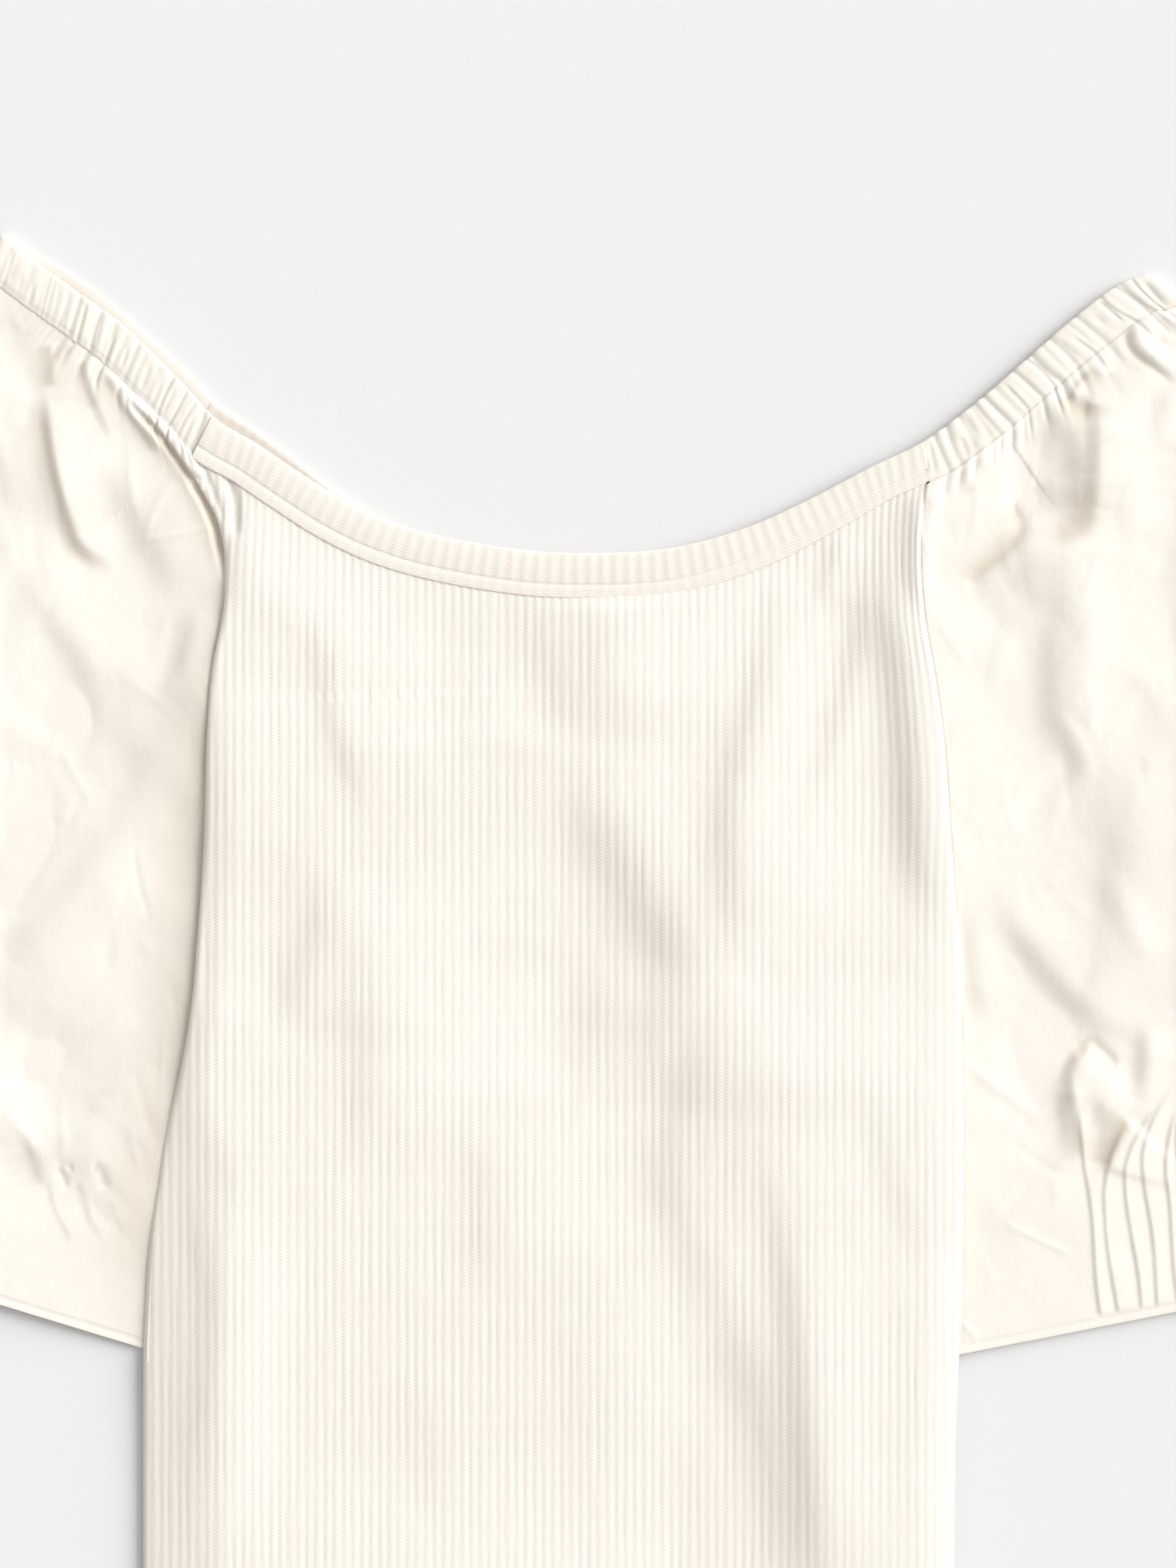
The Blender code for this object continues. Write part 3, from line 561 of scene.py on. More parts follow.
def loft(name, rings, finish, closed=True):
    """A solid through closed rings of points, one for each station, capped at both ends."""
    stations, around, _ = rings.shape
    i, j = np.meshgrid(np.arange(stations - 1), np.arange(around), indexing="ij")
    k = (j + 1) % around
    quads = np.stack([i * around + j, i * around + k, (i + 1) * around + k, (i + 1) * around + j], -1).reshape(-1, 4)
    points = list(rings.reshape(-1, 3))
    tris = []
    for row, flip in ((0, False), (stations - 1, True)):
        centre = len(points)
        points.append(rings[row].mean(0))
        for q in range(around):
            t = (row * around + (q + 1) % around, row * around + q, centre)
            tris.append(t[::-1] if flip else t)
    made = make_object(name, np.array(points), quads, tris, finish)
    signed = signed_volume(made)
    if signed < 0:
        made.data.flip_normals()
    return made


def signed_volume(o):
    mesh = o.data
    mesh.calc_loop_triangles()
    co = np.empty(len(mesh.vertices) * 3)
    mesh.vertices.foreach_get("co", co)
    co = co.reshape(-1, 3)
    tri = np.empty(len(mesh.loop_triangles) * 3, np.int32)
    mesh.loop_triangles.foreach_get("vertices", tri)
    tri = tri.reshape(-1, 3)
    return float(np.einsum("ij,ij->i", co[tri[:, 0]], np.cross(co[tri[:, 1]], co[tri[:, 2]])).sum() / 6)


# ---------------------------------------------------------------- materials
def node(tree, kind, **values):
    made = tree.nodes.new(kind)
    for key, value in values.items():
        if key.startswith("in_"):
            made.inputs[int(key[3:])].default_value = value
        else:
            setattr(made, key, value)
    return made


def cloth(name, colour, deeper, knit, rough=0.92, sheen=0.25):
    """Undyed cotton: a knit of small stitches in ribs, or a fine plain weave with slubs."""
    made = bpy.data.materials.new(name)
    made.use_nodes = True
    tree = made.node_tree
    shader = tree.nodes["Principled BSDF"]
    shader.inputs["Roughness"].default_value = rough
    shader.inputs["Specular IOR Level"].default_value = 0.18
    shader.inputs["Sheen Weight"].default_value = sheen
    shader.inputs["Sheen Roughness"].default_value = 0.5
    link = tree.links.new
    where = node(tree, "ShaderNodeTexCoord").outputs["Object"]

    def noise(scale, detail=2.0, squash=(1, 1, 1)):
        mapped = node(tree, "ShaderNodeMapping")
        mapped.inputs["Scale"].default_value = squash
        link(where, mapped.inputs["Vector"])
        made_noise = node(tree, "ShaderNodeTexNoise")
        made_noise.inputs["Scale"].default_value = scale
        made_noise.inputs["Detail"].default_value = detail
        link(mapped.outputs["Vector"], made_noise.inputs["Vector"])
        return made_noise.outputs["Fac"]

    def maths(operation, a, b=None, c=None):
        made_node = node(tree, "ShaderNodeMath", operation=operation)
        for k, v in enumerate((a, b, c)):
            if v is None:
                continue
            if isinstance(v, (int, float)):
                made_node.inputs[k].default_value = v
            else:
                link(v, made_node.inputs[k])
        return made_node.outputs[0]

    broad, fine = noise(14.0, 3.0), noise(900.0, 2.0)
    mix = node(tree, "ShaderNodeMix", data_type="RGBA")
    mix.inputs["A"].default_value = (*deeper, 1.0)
    mix.inputs["B"].default_value = (*colour, 1.0)
    shade = maths("ADD", maths("MULTIPLY", broad, 0.9), maths("MULTIPLY", fine, 0.5))
    link(maths("ADD", shade, -0.12), mix.inputs["Factor"])
    # painted shade: the colour is mixed towards a warm dark brown by each point's share of painted shade, in deep
    # creases, between the tucks and in the bodice's shadow on the left sleeve
    crease_shaded = node(tree, "ShaderNodeMix", data_type="RGBA")
    link(node(tree, "ShaderNodeAttribute", attribute_name="crease_shade").outputs["Fac"], crease_shaded.inputs["Factor"])
    link(mix.outputs["Result"], crease_shaded.inputs["A"])
    crease_shaded.inputs["B"].default_value = (0.40, 0.30, 0.185, 1.0)
    link(crease_shaded.outputs["Result"], shader.inputs["Base Color"])

    parts = node(tree, "ShaderNodeSeparateXYZ")
    link(where, parts.inputs["Vector"])
    if knit:
        across = maths("MULTIPLY", parts.outputs["X"], 1.0 / (knit * K))
        arm = maths("ABSOLUTE", maths("SUBTRACT", maths("FRACT", across), 0.5))
        rise = maths("ADD", maths("MULTIPLY", parts.outputs["Y"], 1.0 / 0.0013), maths("MULTIPLY", arm, 1.3))
        stitch = maths("SINE", maths("MULTIPLY", rise, 2 * math.pi))
        height = maths("ADD", maths("MULTIPLY", stitch, 0.20), maths("MULTIPLY", noise(2200.0, 2.0), 0.6))
        depth = 0.00011
    else:
        warp = noise(420.0, 2.0, (1.0, 0.16, 1.0))
        weft = noise(420.0, 2.0, (0.16, 1.0, 1.0))
        crumple = noise(55.0, 4.0)
        height = maths("ADD", maths("ADD", maths("MULTIPLY", warp, 0.12), maths("MULTIPLY", weft, 0.12)), maths("MULTIPLY", crumple, 1.3))
        depth = 0.00030
    bump = node(tree, "ShaderNodeBump")
    bump.inputs["Strength"].default_value = 1.0
    bump.inputs["Distance"].default_value = depth
    link(height, bump.inputs["Height"])
    link(bump.outputs["Normal"], shader.inputs["Normal"])
    return made


rib_finish = cloth("cream_rib_knit", (0.775, 0.728, 0.662), (0.745, 0.690, 0.616), RIB, sheen=0.12)
# painted shade: a little darker than the bodice's knit, for the shade over the neckband
band_finish = cloth("cream_rib_band", (0.775, 0.722, 0.650), (0.740, 0.680, 0.602), RIB, sheen=0.12)
# painted shade: a shade darker than the sleeves' poplin, for the shade among the casing's gathers
gathered = cloth("cream_poplin_gathered_painted_shade", (0.765, 0.716, 0.645), (0.735, 0.682, 0.606), None, rough=0.85, sheen=0.10)
poplin = cloth("cream_poplin", (0.785, 0.742, 0.676), (0.755, 0.706, 0.634), None, rough=0.85, sheen=0.10)


# ---------------------------------------------------------------- bodice
def ribs(cloth_x, pitch=RIB):
    """Rounded ridges with narrower grooves: 0 on a ridge, -1 in a groove."""
    wave = 0.5 + 0.5 * np.cos(2 * np.pi * cloth_x / pitch)
    return wave - 1


def uneven(cloth_x, y, seed):
    """How the depth of the ribs and their way sideways differ from rib to rib and along each."""
    rng = np.random.default_rng(seed)
    number = np.round(cloth_x / RIB).astype(int)
    number = number - number.min()
    turn = rng.uniform(0, 2 * np.pi, (5, number.max() + 1))[:, number]
    wave = [np.sin(y / long + t[None, :]) for long, t in zip((61.0, 27.0, 12.0, 83.0, 19.0), turn)]
    return 1 + 0.26 * wave[0] + 0.20 * wave[1] + 0.16 * wave[2], 0.30 * wave[3] + 0.22 * wave[4]


def sleeve_zone(y):
    return smooth((y - UNDERARM_Y + 45) / 75) * (1 - smooth((y - CUFF_END_Y - 12) / 55))


def pull(side, y):
    """How far the armhole draws the ribs beside it sideways, px."""
    if side == "left":
        return 13.0 * smooth((790 - y) / 170)
    return (side_x(side, y) - 1213.0) * (1 - smooth((y - 950) / 200))


def panel_x(cloth_x, y):
    return (
        cloth_x
        + pull("left", y) * np.exp(-np.clip(cloth_x - 268, 0, None) / 70)
        + pull("right", y) * np.exp(-np.clip(1213 - cloth_x, 0, None) / 70)
    )


def panel(name, layer, per_rib, line_count, nest, inset, height):
    """A rib-knit panel whose columns of points follow its ribs and whose sides cut them."""
    pitch = RIB / per_rib
    cloth_x = np.arange(150, 1270, pitch)
    cloth_x = (np.round(cloth_x / pitch)) * pitch
    lines = nest
    stations = np.linspace(JOIN_X["left"] + 1.5, JOIN_X["right"] - 1.5, 500)
    scale = through(column(NECKLINE, "x"), column(NECKLINE, "band"), stations) if layer == "front" else 1.0
    edge = neck_point(stations, BAND_W * scale + 3.0, layer)
    # under the neckband the side edges run straight up to its ends
    count = len(lines)
    x = np.zeros((count, len(cloth_x)))
    y = np.zeros_like(x)
    first, last = np.zeros(count, int), np.zeros(count, int)
    for i, v in enumerate(lines):
        px = cloth_x.copy()
        for _ in range(3):
            top = np.interp(px, edge[:, 0], edge[:, 1])
            py = top + v * (HEM_Y - top)
            px = panel_x(cloth_x, py)
        left_limit = np.maximum(side_x("left", py), edge[0, 0] * (v < 0.02)) + inset
        right_limit = np.where(v < 0.02, np.minimum(side_x("right", py), edge[-1, 0]), side_x("right", py)) - inset
        inside = (px > left_limit) & (px < right_limit)
        a, b = np.flatnonzero(inside)[[0, -1]]
        first[i], last[i] = a - 1, b + 1
        y[i] = py
        x[i] = px
        lx = float(left_limit[a - 1])
        rx = float(right_limit[b + 1])
        # the end points stand on the edge itself
        ly = np.interp(lx, px[a - 2 : a + 2], py[a - 2 : a + 2])
        ry = np.interp(rx, px[b - 1 : b + 3], py[b - 1 : b + 3])
        x[i, : a], y[i, : a] = lx, ly
        x[i, b + 1 :], y[i, b + 1 :] = rx, ry
    relief = ribs(cloth_x)[None, :] * np.ones((count, 1))
    for i in range(count):
        relief[i, : first[i] + 1] = relief[i, first[i] + 1]
        relief[i, last[i] :] = relief[i, last[i] - 1]
    top = np.interp(x, edge[:, 0], edge[:, 1])
    z = height(x, y, top)
    return x, y, z, relief, first, last


def front_height(x, y, top):
    left, right = x - side_x("left", y), side_x("right", y) - x
    below = smooth((y - CUFF_END_Y - 30) / 120)
    crown = FRONT_CROWN - 0.6 * below - 0.8 * (1 - smooth((y - 800) / 260))
    # the left side rises from its edge over a few ribs, more slowly beside and below the cuff
    edge = through(
        (560, 730, 790, 890, 1000, 1300, 1400, 1475, 1550, 1700, 1780, 1880, 2157),
        (5.2, 5.6, 6.9, 7.0, 6.6, 6.3, 5.6, 4.7, 4.3, 4.1, 3.9, 3.5, 3.5),
        y,
    )
    wide = 48 + 56 * smooth((y - 1380) / 150)
    power = 2.2 - 0.85 * smooth((y - 1380) / 150)
    slow = edge + (crown - edge) * (1 - np.clip(1 - left / wide, 0, 1) ** power)
    # the right side hardly drops before its edge
    edge = 7.0 - 1.2 * below
    quick = edge + (crown - edge) * (1 - np.clip(1 - right / 50.0, 0, 1) ** 2.0)
    z = np.minimum(slow, quick)
    # the very edge rolls under
    for side, drop, long in ((left, 1.2, 8.0), (right, 1.1, 7.0)):
        z = z - drop * (1 - np.sqrt(np.clip(1 - np.clip(1 - side / long, 0, 1) ** 2, 0, 1)))
    inward = np.minimum(left + 4, right + 14)
    away = y - top
    held = 1 - smooth((away - 6) / 150)
    z = z * (1 - held) + (3.9 + 0.5 * smooth(inward / 40)) * held
    return z + fold_heights(BODY_FOLDS, x, y) * smooth(inward / 18) * smooth((away - 2) / 30)


def back_height(x, y, top):
    inward = np.minimum(x - side_x("left", y), side_x("right", y) - x)
    armhole = 1.4 * smooth((y - 625) / 38) * (1 - smooth((y - CUFF_END_Y - 12) / 55))
    over = armhole + 1.6 * sleeve_zone(y)
    return 0.05 + over * (1 - smooth((inward - 14 - 36 * sleeve_zone(y)) / 55))


def nested(count, power):
    """Shares of the panel's length, closer together near the neckline."""
    v = np.linspace(0, 1, count)
    return v * (power + (1 - power) * v)


def hem_line(y, x):
    """The bodice's hem: a turned-up band held by a line of stitches that sinks a little."""
    away = HEM_Y - y
    return -0.5 * np.exp(-((away - 62) / 3.2) ** 2) - 0.35 * np.exp(-((away - 56) / 2.2) ** 2)


x, y, z, relief, first, last = panel("front", "front", 6, 150, nested(168, 0.62), 0.0, front_height)
deep = RIB_DEEP * (0.95 + 0.35 * smooth((1000 - y) / 400))
rib_x = np.round(np.arange(150, 1270, RIB / 6) / (RIB / 6)) * (RIB / 6)
depth, sway = uneven(rib_x, y, 4)
sway = sway * smooth(np.minimum(x - side_x("left", y), side_x("right", y) - x) / 12)
outer = place(x + sway, y, z + relief * deep * depth + hem_line(y, x))
base = place(x, y, z)
up = np.zeros_like(outer)
up[..., 2] = 1.0
body_front = shell("knit_front", outer, base, up, 1.15, 44, 60, first, last, rib_finish)

x, y, z, relief, first, last = panel("back", "back", 4, 64, nested(64, 0.9), 5.0, back_height)
down = np.zeros(x.shape + (3,))
down[..., 2] = -1.0
# seen from below: its ribs stand down towards the surface
outer = place(x, y, z - relief * RIB_DEEP * 0.8)
base = place(x, y, z)
body_back = shell("knit_back", outer, base, down, 1.3, 40, 40, first, last, rib_finish)
if signed_volume(body_back) < 0:
    body_back.data.flip_normals()
if signed_volume(body_front) < 0:
    body_front.data.flip_normals()


# ---------------------------------------------------------------- neckband
def band_ring(width, strip, low, high, layer):
    """Cross-section of the neckband as (away px, height mm, share of rib relief)."""
    ring = []
    middle = (low + high) / 2
    half = (high - low) / 2
    for a in np.linspace(-90, 90, 7):      # the folded top edge
        ring.append((2.2 - 2.2 * math.cos(math.radians(a)), middle + half * math.sin(math.radians(a)), 0.5 + 0.5 * math.sin(math.radians(a))))
    for f in np.linspace(0.16, 0.9, 9):
        crown = 0.25 * math.sin(math.pi * f) if layer == "front" else -0.85 * float(smooth(f / 0.5))
        ring.append((width * f, high + crown, 1.0))
    if layer == "front":
        ring += [
            (width - 2.2, high + 0.04, 0.8),
            (width - 0.6, high - 0.16, 0.35),
            (width + 0.6, high - 0.18, 0.3),
            (width + 2.4, high + 0.00, 0.35),
            (width + strip * 0.40, high + 0.05, 0.45),
            (width + strip * 0.75, high + 0.05, 0.4),
            (width + strip - 1.6, high + 0.02, 0.3),
            (width + strip - 0.3, high - 0.04, 0.15),
            (width + strip, high - 0.14, 0.0),
            (width + strip - 0.8, high - 0.24, 0.0),
            (width + 1.0, high - 0.24, 0.0),
            (width - 0.5, low, 0.0),
        ]
    else:
        ring += [(width - 2, high - 0.95, 0.6), (width, middle - 0.3, 0.0), (width - 2, low, 0.0)]
    for f in (0.7, 0.45, 0.25):
        ring.append((width * f, low, 0.0))
    return ring


def neckband(name, layer, stations, low, high, deep):
    run = along_neck(stations)
    rings = []
    for x, r in zip(stations, run):
        scale = float(through(column(NECKLINE, "x"), column(NECKLINE, "band"), x)) if layer == "front" else 1.0
        wave = 0.5 + 0.5 * math.cos(2 * math.pi * r / BAND_RIB)
        ring = []
        for away, z, share in band_ring(BAND_W * scale, STRIP_W * (0.4 + 0.6 * scale), low, high, layer):
            relief = (wave**1.3 - 0.6) * deep * share
            p = neck_point(x, away, layer)
            ring.append(place(p[0], p[1], z + relief))
        rings.append(ring)
    return loft(name, np.array(rings), band_finish)


def between(a, b, step):
    return np.linspace(a, b, max(2, int(round(abs(b - a) / step)) + 1))


neck_front = neckband("neckband_front_knit", "front", between(JOIN_X["left"] + 0.06, JOIN_X["right"] - 0.06, 2.05), 3.0, 4.7, 0.12)
neck_back = neckband("neckband_back_knit", "back", between(JOIN_X["left"] + 0.06, JOIN_X["right"] - 0.06, 3.1), 0.1, 1.9, 0.12)


# ---------------------------------------------------------------- casings
Groove = namedtuple("Groove", "run depth wide slant bow top bottom")


def gathers(side, seed, pitch, jitter, lean):
    """The grooves that the elastic draws across a casing, each with its place along the neckline."""
    rng = np.random.default_rng(seed)
    a, b = sorted(along_neck(np.array([JOIN_X[side], END_X[side]])))
    grooves, r = [], a - 6 + pitch * 0.5
    while r < b + 10:
        whole = rng.uniform() < 0.6
        grooves.append(Groove(
            r, rng.uniform(0.25, 1.0) ** 1.3, rng.uniform(2.2, 5.2), lean + rng.normal(0, 0.05), rng.normal(0, 1.6),
            -20.0 if whole else rng.uniform(-16, 24), 90.0 if whole else rng.uniform(36, 80),
        ))
        r += pitch * rng.uniform(1 - jitter, 1 + jitter)
    return grooves


GROOVES = {"left": gathers("left", 11, 10.0, 0.5, 0.10), "right": gathers("right", 23, 13.5, 0.6, -0.04)}


def gather_height(side, run, away):
    """Height of the gathers: soft pads between narrow grooves, each a little aslant and bowed."""
    h = np.zeros(np.broadcast(run, away).shape)
    for g in GROOVES[side]:
        f = (away - CASING_W / 2) / (CASING_W / 2)
        d = run - g.run - g.slant * (away - CASING_W / 2) - g.bow * (1 - f * f)
        ends = smooth((away - g.top) / 14) * smooth((g.bottom - away) / 14)
        h = h - g.depth * ends * np.exp(-np.abs(d / g.wide) ** 1.7)
        h = h + 0.28 * g.depth * ends * np.exp(-(((d - 2.0 * g.wide) / (1.7 * g.wide)) ** 2))
    return h


def casing_rings(side):
    join, end = JOIN_X[side], END_X[side]
    way = 1 if side == "right" else -1
    step = 1.3
    front = between(join + way * 0.06, end, step)
    back = between(end, join + way * 0.06, 3.0)
    bend = np.linspace(0, np.pi, 12)[1:-1]
    stations = [(x, 1.0, 0.0) for x in front]
    stations += [(end, (1 + math.cos(b)) / 2, math.sin(b)) for b in bend]
    stations += [(x, 0.0, 0.0) for x in back]
    around = []
    for a in np.linspace(-90, 90, 7):
        around.append((2.2 - 2.2 * math.cos(math.radians(a)), math.sin(math.radians(a))))
    around += [(f * CASING_W, 1.0) for f in np.linspace(0.12, 0.90, 14)]
    around += [(CASING_W - 3.0, 0.86), (CASING_W - 1.2, 0.60), (CASING_W - 0.2, 0.25), (CASING_W - 1.0, -0.5), (CASING_W - 4, -1.0)]
    around += [(f * CASING_W, -1.0) for f in (0.7, 0.45, 0.2)]
    rings = []
    for x, mix, out in stations:
        span = np.array([0.0, CASING_W])
        edge = mix * neck_point(x, span, "front") + (1 - mix) * neck_point(x, span, "back")
        across = edge[1] - edge[0]
        across /= np.linalg.norm(across)
        outward = np.array([-across[1], across[0]])
        outward *= way if outward[0] > 0 else -way
        run = float(along_neck(x)) + way * out * 5.0
        aways = np.array([a for a, _ in around])
        parts = np.array([p for _, p in around])
        g = gather_height(side, run, aways)
        # the casing is padded between its two edges, and its lower edge is drawn in by stitches
        pad = 0.30 * np.sin(np.pi * np.clip(aways / CASING_W, 0, 1)) - 0.28 * np.exp(-((aways - CASING_W + 6) / 2.6) ** 2)
        radius = 1.0
        height = 2.0 + (2 * mix - 1) * radius
        ring = []
        scallop = 2.2 * gather_height(side, run, np.zeros(1))[0]
        for away, part, gg, pp in zip(aways, parts, g, pad):
            shift = -0.6 * scallop * (1 - smooth(away / 14)) + 0.9 * scallop * smooth((away - CASING_W + 14) / 14) * (part > -0.9)
            a = away + shift + 6.0 * out * (1 - away / CASING_W)
            plan = edge[0] + across * a
            lift = part * 0.92 * (1.0 if part > -0.99 or mix > 0.5 or away < 3 else 0.2)
            if part > 0:
                lift += part * (0.62 * gg + pp)
            push = (radius * out + lift * out) * MM / K
            z = height + lift * (2 * mix - 1)
            ring.append((plan[0] + outward[0] * push, plan[1] + outward[1] * push, max(z, 0.05)))
        ring = np.array(ring)
        rings.append(place(ring[:, 0], ring[:, 1], ring[:, 2]))
    return np.array(rings)


casings = {side: loft("casing_" + side + "_poplin", casing_rings(side), gathered) for side in ("left", "right")}


# ---------------------------------------------------------------- sleeves
def sleeve_inner(side, y, layer):
    """The sleeve's inner edge: under the bodice, but for a gap beside the left armhole's top."""
    if side == "left" and layer == "front":
        # up to y 622 it reaches the body's corner, and below that it runs under the body's edge
        lap = through((560, 603, 612, 624, 636, 660, 700, 750, 775, 800), (12, 12.5, 12, 6, 4, 5, 5, 6, 8, 9), y)
    elif layer == "front":
        lap = 13.0 - 4.0 * smooth((y - 700) / 60)
    else:
        lap = -1.6 + 10.6 * smooth((y - 695) / 45)
    lap = lap + 29.0 * smooth((y - UNDERARM_Y - 70) / 140)
    return side_x(side, y) + (lap if side == "left" else -lap)


def sleeve_plan(side, s, t, layer):
    """Plan of a sleeve's points for arrays s (rows) and t (columns)."""
    table = SLEEVES[side]
    inner_y = through(column(table, "s"), column(table, "inner_y"), s)
    outer = np.stack([through(column(table, "s"), column(table, c), s) for c in ("outer_x", "outer_y")], -1)
    inner = np.stack([sleeve_inner(side, inner_y, layer), inner_y], -1)
    line = inner[:, None, :] + t[None, :, None] * (outer - inner)[:, None, :]
    join, end = JOIN_X[side], END_X[side]
    inner_end = join + (1.6 if side == "right" else -1.6)
    share = np.linspace(0, 1, 80)
    lower = neck_point(inner_end + share * (end - inner_end), CASING_W - (9.0 if layer == "front" else 1.0), layer)
    start = np.array([float(sleeve_inner(side, np.array(table[0].inner_y), layer)), table[0].inner_y])
    last = np.array([table[0].outer_x, table[0].outer_y])
    curve = np.stack([np.interp(t, share, lower[:, k]) for k in (0, 1)], -1)
    bow = curve - (start + t[:, None] * (last - start))
    plan = line + bow[None, :, :] * (1 - smooth(s / 0.14))[:, None, None]
    if layer == "front":
        # the corner below the casing's end reaches under the body at once
        corner = (1 - smooth(t / 0.10))[None, :] * (smooth(s / 0.010) * (1 - smooth(s / 0.14)))[:, None]
        plan = plan - bow[0] * corner[..., None]
    return plan


def tucks(side, x, y):
    """Stitched-down tucks: each stands up abruptly on its left and falls away to its right.

    Gives their heights, 0 to 1, and where the shaded lines between them run, 0 to 1.
    """
    order = sorted(RIGHT_TUCKS if side == "right" else LEFT_TUCKS, key=lambda t: t.x)
    ends = (1690 - 0.165 * (x - 1418)) if side == "right" else (1598 + 0.29 * (x + 200))
    total, lines = np.zeros(x.shape), np.zeros(x.shape)
    for k, t in enumerate(order):
        if side == "right":
            wide = (order[k + 1].x - t.x) if k + 1 < len(order) else 23
            bend = t.head_dx * np.clip((t.head_y + 90 - y) / 90, 0, 1) ** 1.6
            sway = 2.2 * np.sin((y - 1500) / 34.0 + 1.7 * k) * smooth((y - 1480) / 60)
            d = x - (t.x + 0.115 * (y - 1590) + bend + sway)
        else:
            wide = (t.x - order[k - 1].x) if k > 0 else 23
            d = x - (t.x - 0.16 * (y - 1500))
        head = smooth((y - t.head_y + 12) / 40) * (1 - smooth((y - ends + 4) / 5))
        fall = np.clip(1 - np.clip(d - 2, 0, None) / wide, 0, 1)
        total = total + smooth((d + 2.4) / 4.6) * fall * head
        lines = np.maximum(lines, np.exp(-0.5 * (d / np.where(d < 0, 2.8, 1.5)) ** 2) * head)
    return total, lines


def sleeve_rest(side, s, t, x, y):
    """Heights of the front layer before its folds: low in the photograph and puffed beyond it."""
    dome = through(column(SLEEVES[side], "s"), column(SLEEVES[side], "dome"), s) * 0.62
    _, t_ = np.meshgrid(s, t, indexing="ij")
    s_ = np.broadcast_to(s[:, None], t_.shape)
    away = side_x("left", y) - x if side == "left" else x - side_x("right", y)
    if side == "left":
        # it climbs a little to the bodice's edge, and its cuff falls towards it
        high = through((600, 740, 800, 900, 1000, 1350, 1450, 1550, 1700), (0.9, 1.0, 1.0, 0.8, 0.5, 0.5, 0.3, 0.0, 0.0), y)
        wide = through((600, 740, 950, 1020, 1080, 1350, 1450, 1550, 1700), (60, 100, 110, 86, 70, 70, 60, 38, 34), y)
        z = 2.7 + high * np.clip(1 - np.clip(away, 0, None) / wide, 0, 1) ** 1.35
        z = z + 1.9 * smooth((y - 1500) / 90) * np.clip(away / 190, 0, 1) - 0.3 * smooth((y - 1480) / 80)
    else:
        high = through((600, 1090, 1190, 1750), (0.8, 0.8, 0.3, 0.1), y)
        z = 3.6 - 0.6 * smooth((y - 1090) / 100) + high * np.clip(1 - np.clip(away, 0, None) / 120, 0, 1) ** 1.2
    # it is puffed from the photograph's edge outwards
    edge_x = 0.0 if side == "left" else 1512.0
    row_in, row_out = x[:, :1], x[:, -1:]
    begin = np.clip((edge_x - row_in) / (row_out - row_in), 0.3, 0.9) - 0.02
    # beneath the bodice it sinks again, so as to lie clear of it
    if side == "left":
        z = z - 1.4 * smooth((-away - 2) / 6) * smooth((y - 700) / 50)
    else:
        z = z - (1.4 + 1.2 * (1 - smooth((y - 700) / 60))) * smooth((-away - 1) / 5)
    # the gathers stand up below the casing, and the first rows run in under it
    z = z + 0.7 * (1 - smooth(s_ / 0.07))
    first = 1 - smooth(s_ / 0.005)
    z = z * (1 - first) + 2.6 * first
    z = z + dome[:, None] * smooth((t_ - begin) / 0.30)
    outer = 2.5 + 0.12 * dome[:, None]
    end = np.sqrt(np.clip(1 - (np.clip(t_ - 0.86, 0, None) / 0.14) ** 2, 0, 1))
    return outer + (z - outer) * end


